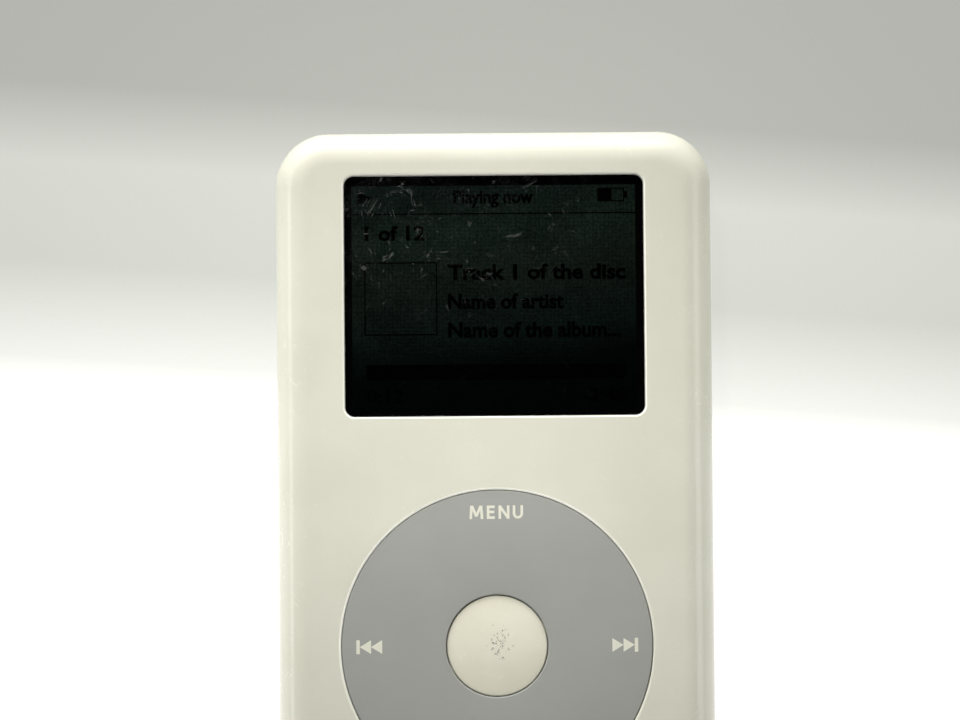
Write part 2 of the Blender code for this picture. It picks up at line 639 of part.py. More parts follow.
def build_display():
    """The window, the black mask, the panel, its light and the tray that holds them."""
    half = WINDOW_HALF_WIDTH - SLIP / 2
    lens_y = (WINDOW_Y[0] + SLIP / 2, WINDOW_Y[1] - SLIP / 2)
    lens_z = (WINDOW_FLANGE_Z[0], CASE_DEPTH)
    window = block(
        "display_window", (-half, half), lens_y, lens_z, CLEAR_WINDOW, corner=WINDOW_CORNER
    )
    flange_x = (-half - WINDOW_FLANGE, half + WINDOW_FLANGE)
    flange_y = (lens_y[0] - WINDOW_FLANGE, lens_y[1] + WINDOW_FLANGE)
    join(window, [block("window_flange", flange_x, flange_y, WINDOW_FLANGE_Z)])

    gasket = block("display_gasket", flange_x, flange_y, GASKET_Z, BLACK_FOAM)
    cut(gasket, [block("view", (-VIEW_HALF_WIDTH, VIEW_HALF_WIDTH), VIEW_Y, past(GASKET_Z))])

    panel_x = (-PANEL_HALF_WIDTH, PANEL_HALF_WIDTH)
    block("display_panel", panel_x, PANEL_Y, PANEL_Z, DISPLAY_GLASS)
    block("display_backlight", panel_x, PANEL_Y, BACKLIGHT_Z, LIGHT_GUIDE)

    tray_z = (DISPLAY_FLOOR_Z[0], PANEL_Z[1])
    tray = block(
        "display_frame", (-TRAY_HALF_WIDTH, TRAY_HALF_WIDTH), TRAY_Y, tray_z, SHEET_STEEL
    )
    hollow_x = (panel_x[0] - THIN_GAP, panel_x[1] + THIN_GAP)
    hollow_y = (PANEL_Y[0] - THIN_GAP, PANEL_Y[1] + THIN_GAP)
    hollow = block("tray_hollow", hollow_x, hollow_y, (DISPLAY_FLOOR_Z[1], tray_z[1] + CUT_PAST))
    gate_x = around(0, DISPLAY_FLEX_WIDTH + 2 * REST_GAP)
    gate_y = (TRAY_Y[0] - CUT_PAST, hollow_y[0] + THIN_GAP)
    gate = block("tray_gate", gate_x, gate_y, (BACKLIGHT_Z[0], tray_z[1] + CUT_PAST))
    cut(tray, [hollow, gate])


def build_display_flex():
    """The display's cable leaves the panel at its lower edge and dips to the main board."""
    high = sum(PANEL_Z) / 2
    low = BOARD_Z[1] + THIN_GAP + FLEX_THICKNESS
    edge = TRAY_Y[0]
    path = [
        (PANEL_Y[0] - THIN_GAP, high),
        (edge - 0.2 * DISPLAY_FLEX_REACH, high),
        (edge - 0.4 * DISPLAY_FLEX_REACH, 0.8 * high + 0.2 * low),
        (edge - 0.6 * DISPLAY_FLEX_REACH, 0.2 * high + 0.8 * low),
        (edge - 0.8 * DISPLAY_FLEX_REACH, low),
        (edge - DISPLAY_FLEX_REACH, low),
    ]
    ribbon("display_flex", path, around(0, DISPLAY_FLEX_WIDTH), FLEX_AMBER)


def key_dome(key, place, crown_up):
    """A snap dome: flat on its board, high in the middle."""
    flat, crown = (0.0, DOME_HEIGHT) if crown_up else (DOME_HEIGHT, 0.0)
    outline = [
        (0, crown),
        (0.5 * DOME_RADIUS, crown),
        (DOME_RADIUS, (flat + crown) / 2),
        (DOME_RADIUS, flat),
        (0, flat),
    ]
    if not crown_up:
        outline.reverse()
    return turned(f"{key}_dome", outline, place, SHEET_STEEL, steps=SMALL_STEPS)


def build_wheel_ring():
    flange = RING_RADIUS + WHEEL_FLANGE
    low, flange_top = WHEEL_FLANGE_Z
    recess = WHEEL_BORE_RADIUS + BUTTON_FLANGE + BUTTON_GAP
    recess_top = BUTTON_FLANGE_Z[1] + REST_GAP
    profile = [
        (WHEEL_BORE_RADIUS, WHEEL_TOP),
        (RING_RADIUS, WHEEL_TOP),
        (RING_RADIUS, flange_top),
        (flange, flange_top),
        (flange, low),
        (recess, low),
        (recess, recess_top),
        (WHEEL_BORE_RADIUS, recess_top),
    ]
    place = (0, WHEEL_Y, 0)
    return turned("wheel_ring", profile, place, WHEEL_GREY, steps=WHEEL_STEPS, closed=True)


def build_sensor_chip():
    width, length, height = SENSOR_CHIP
    reach = (ROCKER_OUTER_RADIUS + REST_GAP) / math.sqrt(2)
    x = (reach, reach + width)
    y = (WHEEL_Y - reach - length, WHEEL_Y - reach)
    z = under(SENSOR_BOARD_Z[0], DOME_GAP, height)
    return block("wheel_sensor_chip", x, y, z, CHIP_BLACK)


def build_wheel():
    """The ring, the sensor board under it and the domes rock together on the rubber pad."""
    centre = (0, WHEEL_Y)
    board = disc("wheel_sensor_board", RING_RADIUS, SENSOR_BOARD_Z, BOARD_GREEN, centre, WHEEL_STEPS)
    domes = [
        key_dome(key, (x * DOME_RING_RADIUS, WHEEL_Y + y * DOME_RING_RADIUS, KEY_DOME_Z[0]), False)
        for key, (x, y) in KEYS.items()
    ]
    domes.append(key_dome("select", (*centre, SELECT_DOME_Z[0]), True))
    pivot = (*centre, ROCK_PIVOT_Z)
    rocking = [build_wheel_ring(), board, build_sensor_chip(), *domes]
    carry("side_rock_axis", pivot, rocking)

    high, low = ROCKER_THICKNESS / 2, -ROCKER_THICKNESS / 2
    profile = [
        (ROCKER_INNER_RADIUS, high),
        (ROCKER_OUTER_RADIUS, high),
        (ROCKER_OUTER_RADIUS, low),
        (ROCKER_INNER_RADIUS, low),
    ]
    pad = turned("wheel_rocker_pad", profile, pivot, BLACK_RUBBER, closed=True)
    carry("lengthwise_rock_axis", pivot, [pad])

    plate = disc("wheel_back_plate", RING_RADIUS, WHEEL_PLATE_Z, SHEET_STEEL, centre, WHEEL_STEPS)
    pip_z = (sum(WHEEL_PLATE_Z) / 2, WHEEL_PLATE_Z[1] + PIP_HEIGHT)
    pips = []
    for key, (x, y) in KEYS.items():
        place = (x * DOME_RING_RADIUS, WHEEL_Y + y * DOME_RING_RADIUS)
        pips.append(disc(f"{key}_pip", DOME_RADIUS / 2, pip_z, centre=place, steps=SMALL_STEPS))
    join(plate, pips)


def build_wheel_flex():
    """The wheel's cable lies under the rocking board and dips past the back plate's edge."""
    high = WHEEL_PLATE_Z[1] + THIN_GAP + FLEX_THICKNESS
    low = BOARD_Z[1] + THIN_GAP + FLEX_THICKNESS
    edge = WHEEL_Y + RING_RADIUS
    path = [
        (edge - WHEEL_FLEX_OVERLAP, high),
        (edge + REST_GAP, high),
        (edge + 3 * REST_GAP, low),
        (edge + 2 * WHEEL_FLANGE, low),
    ]
    ribbon("wheel_flex", path, WHEEL_FLEX_X, FLEX_AMBER)


def build_select_button():
    """The centre button slides in the wheel's bore, and its flange keeps it in."""
    base, flange_top = BUTTON_FLANGE_Z
    top = WHEEL_TOP + BUTTON_PROUD
    flange = BUTTON_RADIUS + BUTTON_FLANGE
    outline = [
        (0, top),
        (BUTTON_RADIUS - BUTTON_PROUD, top),
        (BUTTON_RADIUS, top - BUTTON_PROUD),
        (BUTTON_RADIUS, flange_top),
        (flange, flange_top),
        (flange, base),
        (0, base),
    ]
    profile = [(radius, height - base) for radius, height in outline]
    place = (0, WHEEL_Y, base)
    button = turned("select_button", profile, place, WHITE_TRIM, steps=WHEEL_STEPS)
    carry("select_press_axis", place, [button])


def build_mid_frame():
    """The stamped frame round the display and the wheel."""
    frame = block(
        "mid_frame",
        (-BOARD_HALF_WIDTH, BOARD_HALF_WIDTH),
        (-BOARD_HALF_LENGTH, BOARD_HALF_LENGTH),
        MID_FRAME_Z,
        SHEET_STEEL,
        corner=BOARD_CORNER,
    )
    through = past(MID_FRAME_Z)
    tray_x = (-TRAY_HALF_WIDTH - REST_GAP, TRAY_HALF_WIDTH + REST_GAP)
    tray_y = (TRAY_Y[0] - REST_GAP, TRAY_Y[1] + REST_GAP)
    flex_x = around(0, DISPLAY_FLEX_WIDTH + 2 * REST_GAP)
    flex_y = (TRAY_Y[0] - DISPLAY_FLEX_REACH - REST_GAP, TRAY_Y[0])
    wheel_cut = WHEEL_RADIUS + WHEEL_FLANGE + REST_GAP
    slot_x = (WHEEL_FLEX_X[0] - REST_GAP, WHEEL_FLEX_X[1] + REST_GAP)
    slot_y = (WHEEL_Y, WHEEL_Y + RING_RADIUS + 2 * WHEEL_FLANGE + REST_GAP)
    cuts = [
        block("tray_cut", tray_x, tray_y, through),
        block("display_flex_cut", flex_x, flex_y, through),
        disc("wheel_cut", wheel_cut, through, centre=(0, WHEEL_Y), steps=WHEEL_STEPS),
        block("wheel_flex_cut", slot_x, slot_y, through),
    ]
    cut(frame, cuts + screw_holes("frame_hole", through))


def build_main_board():
    """The board, with its chips and the drive's socket on the side that faces the back."""
    board = block(
        "main_board",
        (-BOARD_HALF_WIDTH, BOARD_HALF_WIDTH),
        (-BOARD_HALF_LENGTH, BOARD_HALF_LENGTH),
        BOARD_Z,
        BOARD_GREEN,
        corner=BOARD_CORNER,
    )
    cut(board, screw_holes("board_hole", past(BOARD_Z)))
    row_y = BATTERY_Y[1] + CHIP_GAP
    for row in CHIP_ROWS:
        left = -POST_X + SCREW_HEAD_RADIUS + CHIP_GAP
        for name, width, length in row:
            block(name, (left, left + width), (row_y, row_y + length), CHIP_Z, CHIP_BLACK)
            left += width + CHIP_GAP
        row_y += max(length for _, _, length in row) + CHIP_GAP
    socket_y = (DRIVE_Y[1] + THIN_GAP, DRIVE_Y[1] + THIN_GAP + SOCKET_WIDTH)
    block("drive_socket", around(0, DRIVE_FLEX_WIDTH), socket_y, CHIP_Z, WHITE_TRIM)


def build_screws():
    """Six screws from behind, through the board and the frame into the front cover's posts."""
    head = under(BOARD_Z[0], THIN_GAP, SCREW_HEAD_HEIGHT)
    tip = POST_Z[0] + SCREW_BITE
    outline = [
        (0, tip),
        (SCREW_RADIUS, tip),
        (SCREW_RADIUS, head[1]),
        (SCREW_HEAD_RADIUS, head[1]),
        (SCREW_HEAD_RADIUS, head[0]),
        (0, head[0]),
    ]
    profile = [(radius, height - head[0]) for radius, height in outline]
    recess_z = (head[0] - CUT_PAST, head[0] + SCREW_RECESS)
    for number, centre in enumerate(POST_PLACES, 1):
        place = (*centre, head[0])
        screw = turned(f"frame_screw_{number}", profile, place, SCREW_STEEL, steps=SMALL_STEPS)
        recess = disc("screw_recess", SCREW_HEAD_RADIUS / 2, recess_z, centre=centre, steps=6)
        cut(screw, [recess])


def build_battery():
    """The cell lies on the drive, and two leads run from it to a plug under the board."""
    block(
        "battery_cell",
        around(0, BATTERY_WIDTH),
        BATTERY_Y,
        BATTERY_Z,
        CELL_SILVER,
        corner=BATTERY_EDGE,
        axis=1,
    )
    cell_x = BATTERY_WIDTH / 2 - BATTERY_EDGE - CHIP_GAP
    plug_x = around(cell_x, PLUG_SIZE[0])
    plug_y = (BATTERY_Y[1] + 2 * CHIP_GAP, BATTERY_Y[1] + 2 * CHIP_GAP + PLUG_SIZE[1])
    block("battery_plug", plug_x, plug_y, CHIP_Z, WHITE_TRIM)
    leads = (("battery_lead_red", -1, LEAD_RED), ("battery_lead_black", 1, LEAD_BLACK))
    for name, side, material in leads:
        shift = side * LEAD_SPACING / 2
        start = (cell_x + shift, BATTERY_Y[1] + THIN_GAP, sum(BATTERY_Z) / 2)
        end = (cell_x + shift, plug_y[0] - THIN_GAP, sum(CHIP_Z) / 2)
        bend = (plug_y[0] - BATTERY_Y[1]) / 2
        points = [
            start,
            (start[0], start[1] + bend, start[2]),
            (end[0], end[1] - bend, end[2]),
            end,
        ]
        lead(name, points, material)


def build_drive_case():
    """The drive's board, tub and lid, with the rubber that holds it in the case."""
    x = (-DRIVE_HALF_WIDTH, DRIVE_HALF_WIDTH)
    board_x = (x[0] + DRIVE_BOARD_INSET, x[1] - DRIVE_BOARD_INSET)
    board_y = (DRIVE_Y[0] + DRIVE_BOARD_INSET, DRIVE_Y[1] - REST_GAP)
    block("drive_board", board_x, board_y, DRIVE_BOARD_Z, BOARD_GREEN)
    base = block("drive_base", x, DRIVE_Y, DRIVE_BASE_Z, CAST_METAL, corner=DRIVE_CORNER)
    hollow = block(
        "drive_hollow",
        (-CAVITY_HALF_WIDTH, CAVITY_HALF_WIDTH),
        CAVITY_Y,
        (DRIVE_INSIDE_Z, DRIVE_BASE_Z[1] + CUT_PAST),
        corner=DRIVE_CORNER,
    )
    cut(base, [hollow])
    lid_z = (DRIVE_TOP - DRIVE_LID, DRIVE_TOP)
    block("drive_lid", x, DRIVE_Y, lid_z, SHEET_STEEL, corner=DRIVE_CORNER)

    pad_x = (x[0] + DRIVE_PAD_INSET, x[1] - DRIVE_PAD_INSET)
    pad_y = (DRIVE_Y[0] + DRIVE_PAD_INSET, DRIVE_Y[1] - DRIVE_PAD_INSET)
    block("drive_pad", pad_x, pad_y, DRIVE_PAD_Z, BLACK_FOAM)
    near = DRIVE_HALF_WIDTH + THIN_GAP
    bumper_y = (DRIVE_Y[0] + BUMPER_END_INSET, DRIVE_Y[1] - BUMPER_END_INSET)
    bumper_z = (DRIVE_BASE_Z[0], DRIVE_TOP)
    for side, word in ((-1, "left"), (1, "right")):
        bumper_x = span(side, near, near + BUMPER_THICKNESS)
        block(f"drive_bumper_{word}", bumper_x, bumper_y, bumper_z, BUMPER_BLUE)


def build_drive_platter():
    """The platter sits on the hub's flange, and both turn on the spindle axis."""
    flange = HUB_RADIUS + HUB_FLANGE
    top = PLATTER_Z[1] + HUB_SEAT / 2 - HUB_LOW
    place = (*SPINDLE, HUB_LOW)
    profile = [
        (0, top),
        (HUB_RADIUS, top),
        (HUB_RADIUS, HUB_SEAT),
        (flange, HUB_SEAT),
        (flange, 0),
        (0, 0),
    ]
    hub = turned("drive_hub", profile, place, CAST_METAL)
    high, low = PLATTER_Z[1] - HUB_LOW, PLATTER_Z[0] - HUB_LOW
    bore = HUB_RADIUS + THIN_GAP
    profile = [(bore, high), (PLATTER_RADIUS, high), (PLATTER_RADIUS, low), (bore, low)]
    platter = turned("drive_platter", profile, place, PLATTER_MIRROR, steps=WHEEL_STEPS, closed=True)
    carry("spindle_axis", place, [hub, platter])


def arm_park():
    """Length of the arm, and its heading when its head waits just off the platter."""
    towards_spindle = SPINDLE - ARM_PIVOT
    distance = towards_spindle.length
    length = distance - ARM_INNER_TRACK
    park_radius = PLATTER_RADIUS + ARM_PARK_GAP
    cosine = (distance**2 + length**2 - park_radius**2) / (2 * distance * length)
    heading = math.atan2(towards_spindle.y, towards_spindle.x) - math.acos(cosine)
    return length, heading


def build_drive_arm():
    """The arm carries the head at one end and its coil at the other, which swings under a magnet."""
    length, heading = arm_park()
    root_width, head_width, thickness = ARM_BLADE
    mesh = bmesh.new()
    bmesh.ops.create_cube(mesh, size=1.0)
    bmesh.ops.scale(mesh, vec=(length, root_width, thickness), verts=mesh.verts)
    bmesh.ops.translate(mesh, vec=(length / 2, 0, 0), verts=mesh.verts)
    tip = [v for v in mesh.verts if v.co.x > length / 2]
    bmesh.ops.scale(mesh, vec=(1, head_width / root_width, 1), verts=tip)
    place = (*ARM_PIVOT, sum(ARM_BLADE_Z) / 2)
    blade = add_object("arm_blade", mesh, None, place)
    coil = block("arm_coil", (-COIL_LENGTH, 0), around(0, COIL_WIDTH), around(0, thickness))
    coil.data.transform(coil.matrix_basis)
    coil.location = place
    for piece in (blade, coil):
        piece.rotation_euler.z = heading
    pivot_z = (HUB_LOW, MAGNET_Z[1])
    arm = disc("drive_arm", ARM_PIVOT_RADIUS, pivot_z, CAST_METAL, centre=ARM_PIVOT)
    join(arm, [blade, coil])
    carry("arm_axis", (*ARM_PIVOT, pivot_z[0]), [arm])

    magnet_x = (ARM_PIVOT.x - ARM_PIVOT_RADIUS, CAVITY_HALF_WIDTH - REST_GAP)
    magnet_y = (ARM_PIVOT.y + ARM_PIVOT_RADIUS + REST_GAP, CAVITY_Y[1] - REST_GAP)
    block("drive_magnet", magnet_x, magnet_y, MAGNET_Z, CELL_SILVER, corner=DRIVE_CORNER)


def build_drive_flex():
    """The drive's cable loops from its end up to the socket under the main board."""
    near = DRIVE_Y[1] + THIN_GAP + FLEX_THICKNESS
    far = near + SOCKET_WIDTH / 2
    low = DRIVE_INSIDE_Z
    high = CHIP_Z[0] - THIN_GAP - FLEX_THICKNESS
    bend = SOCKET_WIDTH / 4
    path = [
        (near, low),
        (far - bend, low),
        (far, low + bend),
        (far, high - bend),
        (far + bend / 2, high),
        (far + bend, high),
    ]
    ribbon("drive_flex", path, around(0, DRIVE_FLEX_WIDTH), FLEX_AMBER)


def end_plate(name, end, width):
    """A plate that fills one end's notch flush, with a flange behind the steel."""
    y = span(end, END_PLATE_INSIDE, HALF_LENGTH)
    tall = (NOTCH_LOW, SEAM_LOW + 2 * NOTCH_CORNER)
    plate = block(name, around(0, width), y, tall, WHITE_TRIM, corner=NOTCH_CORNER, axis=1)
    flange_y = span(end, END_PLATE_INSIDE, END_PLATE_INSIDE + END_FLANGE_THICKNESS)
    flange_z = (NOTCH_LOW - END_FLANGE, SEAM_LOW - THIN_GAP)
    join(plate, [block("plate_flange", around(0, width + 2 * END_FLANGE), flange_y, flange_z)])
    above = (SEAM_LOW, tall[1] + CUT_PAST)
    cut(plate, [block("plate_trim", around(0, 2 * width), past(y), above)])
    return plate


def build_top_end():
    """The headphone end: its plate and the sockets behind it, on one flat cable."""
    plate = end_plate("top_plate", 1, TOP_PLATE_WIDTH)
    through = (SOCKET_MOUTH - CUT_PAST, HALF_LENGTH + CUT_PAST)
    remote_x = around(REMOTE_X, REMOTE_SLOT[0])
    remote_z = around(NOTCH_MID_Z, REMOTE_SLOT[1])
    hold_x = around(HOLD_X, HOLD_SLOT[0])
    hold_z = around(NOTCH_MID_Z, HOLD_SLOT[1])
    holes = [
        rod("jack_hole", JACK_BORE_RADIUS, JACK_X, through, NOTCH_MID_Z),
        block("remote_hole", remote_x, through, remote_z),
        block("hold_hole", hold_x, through, hold_z),
    ]
    cut(plate, holes)

    jack = rod("headphone_jack", JACK_RADIUS, JACK_X, (JACK_END, SOCKET_MOUTH), NOTCH_MID_Z, SHEET_STEEL)
    body_x = around(JACK_X, 2 * JACK_RADIUS + 2 * REMOTE_WALL)
    body_y = (JACK_END, JACK_END + JACK_BODY_LENGTH)
    body_z = (TOP_SEAT_Z, NOTCH_MID_Z + JACK_RADIUS)
    join(jack, [block("jack_body", body_x, body_y, body_z)])
    bore = (JACK_END + REMOTE_WALL, SOCKET_MOUTH + CUT_PAST)
    cut(jack, [rod("jack_bore", JACK_BORE_RADIUS, JACK_X, bore, NOTCH_MID_Z)])

    socket_x = (remote_x[0] - REMOTE_WALL, remote_x[1] + REMOTE_WALL)
    socket_z = (TOP_SEAT_Z, remote_z[1] + REMOTE_WALL)
    socket_y = (SOCKET_MOUTH - REMOTE_LENGTH, SOCKET_MOUTH)
    socket = block("remote_socket", socket_x, socket_y, socket_z, CHIP_BLACK)
    slot_y = (socket_y[0] + REMOTE_WALL, SOCKET_MOUTH + CUT_PAST)
    cut(socket, [block("remote_slot", remote_x, slot_y, remote_z)])
    build_hold_switch()

    flex_top = TOP_SEAT_Z - THIN_GAP
    flex_x = (-TOP_PLATE_WIDTH / 2 - END_FLANGE, JACK_X)
    sheet_y = (socket_y[0] - REST_GAP, END_PLATE_INSIDE - HOLD_PLATE_THICKNESS)
    middle = flex_top - FLEX_THICKNESS / 2
    fold_y = JACK_END - REST_GAP
    path = [
        (sheet_y[0] + REST_GAP, middle),
        (fold_y + REST_GAP, middle),
        (fold_y, middle + REST_GAP),
        (fold_y, BOARD_Z[0] - 3 * FLEX_THICKNESS),
    ]
    tail = ribbon("top_flex", path, (flex_x[0], flex_x[0] + TOP_FLEX_TAIL), FLEX_AMBER)
    join(tail, [block("flex_sheet", flex_x, sheet_y, (flex_top - FLEX_THICKNESS, flex_top))])


def build_hold_switch():
    """The hold knob slides in its slot, and a tongue behind it moves the switch's contact."""
    knob_width = HOLD_SLOT[0] - HOLD_TRAVEL - 2 * HOLD_KNOB_GAP
    middle = HOLD_X - HOLD_TRAVEL / 2
    plate_y = (SOCKET_MOUTH - HOLD_PLATE_THICKNESS, SOCKET_MOUTH)
    plate_z = around(NOTCH_MID_Z, HOLD_SLOT[1] + HOLD_PLATE_MARGIN)
    plate_x = around(middle, knob_width + 2 * HOLD_PLATE_MARGIN)
    slider = block("hold_slider", plate_x, plate_y, plate_z, WHITE_TRIM)
    knob_y = (plate_y[0] + THIN_GAP, HALF_LENGTH - HOLD_KNOB_RECESS)
    knob_z = around(NOTCH_MID_Z, HOLD_SLOT[1] - 2 * HOLD_KNOB_GAP)
    width, height, reach = HOLD_TONGUE
    tongue_y = (plate_y[0] - reach, plate_y[0] + THIN_GAP)
    knob = block("hold_knob", around(middle, knob_width), knob_y, knob_z)
    tongue = block("hold_tongue", around(middle, width), tongue_y, around(NOTCH_MID_Z, height))
    join(slider, [knob, tongue])
    carry("hold_slide_axis", (middle, plate_y[0], NOTCH_MID_Z), [slider])

    mouth = plate_y[0] - REST_GAP
    switch_z = (TOP_SEAT_Z, NOTCH_MID_Z + HOLD_SLOT[1] / 2)
    switch_y = (mouth - HOLD_SWITCH[1], mouth)
    switch = block("hold_switch", around(HOLD_X, HOLD_SWITCH[0]), switch_y, switch_z, CHIP_BLACK)
    slot_x = around(HOLD_X, HOLD_TRAVEL + width + 2 * REST_GAP)
    slot_y = (tongue_y[0] - REST_GAP, mouth + CUT_PAST)
    cut(switch, [block("switch_slot", slot_x, slot_y, around(NOTCH_MID_Z, height + 2 * REST_GAP))])


def build_dock_end():
    """The dock end: its plate, and the connector's steel shell and tongue behind it."""
    plate = end_plate("dock_trim", -1, DOCK_TRIM_WIDTH)
    slot_x = around(0, DOCK_SLOT[0])
    slot_z = around(NOTCH_MID_Z, DOCK_SLOT[1])
    through = (-HALF_LENGTH - CUT_PAST, -SOCKET_MOUTH + CUT_PAST)
    cut(plate, [block("dock_slot", slot_x, through, slot_z)])

    shell_x = (slot_x[0] - DOCK_SHELL_WALL, slot_x[1] + DOCK_SHELL_WALL)
    shell_z = (slot_z[0] - DOCK_SHELL_WALL, slot_z[1] + DOCK_SHELL_WALL)
    shell_y = (-SOCKET_MOUTH, DOCK_END)
    shell = block("dock_shell", shell_x, shell_y, shell_z, SHEET_STEEL)
    inside_y = (shell_y[0] - CUT_PAST, shell_y[1] - DOCK_SHELL_WALL)
    cut(shell, [block("dock_hollow", slot_x, inside_y, slot_z)])
    tongue_y = (shell_y[0] + DOCK_TONGUE_SETBACK, inside_y[1] - THIN_GAP)
    tongue_z = around(NOTCH_MID_Z, DOCK_TONGUE[1])
    block("dock_tongue", around(0, DOCK_TONGUE[0]), tongue_y, tongue_z, CHIP_BLACK)


build_front_cover()
build_rear_cover()
build_clip_rails()
build_display()
build_display_flex()
build_wheel()
build_wheel_flex()
build_select_button()
build_mid_frame()
build_main_board()
build_screws()
build_battery()
build_drive_case()
build_drive_platter()
build_drive_arm()
build_drive_flex()
build_top_end()
build_dock_end()
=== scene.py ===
import math

import bmesh
import bpy
from mathutils import Matrix, Vector


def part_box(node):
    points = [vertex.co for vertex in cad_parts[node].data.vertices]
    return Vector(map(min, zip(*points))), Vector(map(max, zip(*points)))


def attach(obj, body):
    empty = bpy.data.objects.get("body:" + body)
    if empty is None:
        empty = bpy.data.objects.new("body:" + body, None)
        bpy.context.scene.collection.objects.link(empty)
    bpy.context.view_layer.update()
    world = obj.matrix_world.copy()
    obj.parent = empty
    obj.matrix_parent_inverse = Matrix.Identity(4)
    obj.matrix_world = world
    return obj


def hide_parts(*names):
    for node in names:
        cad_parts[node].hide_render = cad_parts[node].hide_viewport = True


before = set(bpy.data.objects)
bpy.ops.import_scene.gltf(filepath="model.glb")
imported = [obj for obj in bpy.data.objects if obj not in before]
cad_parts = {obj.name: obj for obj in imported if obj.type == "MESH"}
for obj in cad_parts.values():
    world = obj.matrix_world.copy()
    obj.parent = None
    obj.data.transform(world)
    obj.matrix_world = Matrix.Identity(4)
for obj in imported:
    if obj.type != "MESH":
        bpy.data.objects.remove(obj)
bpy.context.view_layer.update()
scene = bpy.context.scene
scene.view_settings.view_transform = "Standard"

MM = 0.001
WELD = 0.0005 * MM
CLEAR = 64 * MM
SHARP_TURN = 38

# Case shape
CORNER = 7.5 * MM
FRONT_ROUND = 4.4 * MM
BACK_ROUND = 4.2 * MM
COVER_WALL = 1.6 * MM
COVER_INSIDE_ROUND = 2.4 * MM
STEEL_WALL = 0.6 * MM
COVER_RIM = 9.8 * MM
RIM_ROUND = 0.12 * MM
STEEL_RIM_ROUND = 0.14 * MM
STEADY = 0.12 * MM
SKIRT_HALF_LENGTH = 39.0 * MM
SKIRT_X = (28.93 * MM, 29.78 * MM)
SKIRT_OVERLAP = 0.15 * MM
POST_RADIUS = 1.6 * MM
POST_BORE = 0.4 * MM
POST_Z = (12.3 * MM, 14.5 * MM)
NOTCH_LOW = 4.08 * MM
NOTCH_CORNER = 2.2 * MM
NOTCH_GAP = 0.12 * MM
NOTCH_DEPTH = 1.8 * MM
BACK_CUTS = (-22.9 * MM, -21.6 * MM, 21.6 * MM, 22.9 * MM)

# Window, wheel and button
WINDOW_CORNER = 1.4 * MM
WINDOW_HALF_WIDTH = 20.9 * MM
WINDOW_Y = (12.2 * MM, 45.8 * MM)
WINDOW_LIP = 0.28 * MM
LENS_SLIP = 0.06 * MM
LENS_ROUND = 0.12 * MM
LENS_FLANGE_TOP = 14.3 * MM
VIEW_HALF_WIDTH = 19.85 * MM
VIEW_Y = (12.85 * MM, 44.5 * MM)
VIEW_CORNER = 0.12 * MM
SHEET_CORNER = 0.3 * MM
SHEET_ROUND = 0.08 * MM
CELL = 0.54 * MM
MARK_HEIGHT = (-0.005 * MM, 0.02 * MM)
MARK_BOLD = 0.036
STAGGER = 0.0007 * MM
WHEEL_RADIUS = 21.65 * MM
WHEEL_Y = -19.65 * MM
WHEEL_LIP = 0.34 * MM
WHEEL_GAP = 0.09 * MM
WHEEL_STEP = 13.9 * MM
WHEEL_BORE = 7.1 * MM
HOLLOW_RADIUS = 8.5 * MM
HOLLOW_TOP = 14.6 * MM
BUTTON_RADIUS = 6.98 * MM
BUTTON_CROWN = 50 * MM
BUTTON_STEP = 14.3 * MM
SIGN_HEIGHT = (-0.01 * MM, 0.015 * MM)
SIGN_REACH = 17.9 * MM
ARROW_HALF = (1.04 * MM, 1.10 * MM)
SKIP_BAR_HALF = (0.24 * MM, 0.96 * MM)
PAUSE_BAR_HALF = (0.26 * MM, 0.96 * MM)

# Ends
HOLE_LEVEL = 6.925 * MM
PLATE_STEP = 51.1 * MM
PLATE_HEM = 1.0 * MM
JACK_X = 14.6 * MM
JACK_BORE = 1.8 * MM
REMOTE_X = 7.0 * MM
REMOTE_HALF = (2.8 * MM, 0.8 * MM)
HOLD_X = -12.4 * MM
HOLD_HALF = (4.8 * MM, 1.3 * MM)
DOCK_HALF = (11.0 * MM, 1.45 * MM)
CONTACTS = 30
CONTACT_STEP = 0.63 * MM
CONTACT_HALF = (0.16 * MM, 2.3 * MM)
CONTACT_INSET = 2.4 * MM
RIDGE_STEPS = (-1.8 * MM, -1.1 * MM, -0.4 * MM, 0.4 * MM, 1.1 * MM, 1.8 * MM)
RIDGE_RADIUS = 0.16 * MM
RIDGE_LENGTH = 1.7 * MM
RIDGE_FLATNESS = 0.45

# Light and floor
LAMP_COLOUR = (1.0, 0.995, 0.98)
SPOT_AIM = (-3 * MM, 13 * MM, 16 * MM)
FLOOR_DROP = 0.05 * MM
FLOOR_LIGHT_FADE = 150 * MM
FLOOR_LIGHT_SLANT = 1900 * MM

# From a drawing's (x, y, height) to the headphone end and to the dock end
TO_TOP_END = Matrix(((1, 0, 0, 0), (0, 0, 1, 0), (0, 1, 0, 0), (0, 0, 0, 1)))
TO_DOCK_END = Matrix(((1, 0, 0, 0), (0, 0, -1, 0), (0, 1, 0, 0), (0, 0, 0, 1)))


# Shapes


def rectangle(low, high, corner, steps=10):
    """Draws rectangles with rounded corners; grow moves every side outwards."""

    def draw(bm, grow, height):
        width = high[0] - low[0] + 2 * grow
        length = high[1] - low[1] + 2 * grow
        middle = ((low[0] + high[0]) / 2, (low[1] + high[1]) / 2, height)
        place = Matrix.Translation(middle) @ Matrix.Diagonal((width, length, 1.0, 1.0))
        made = bmesh.ops.create_grid(bm, x_segments=1, y_segments=1, size=0.5, matrix=place)
        rounded = bmesh.ops.bevel(
            bm,
            geom=made["verts"],
            offset=corner + grow,
            segments=steps,
            profile=0.5,
            affect="VERTICES",
            material=-1,
        )
        face = rounded["verts"][0].link_faces[0]
        edges = list(face.edges)
        bmesh.ops.delete(bm, geom=[face], context="FACES_ONLY")
        return edges

    return draw


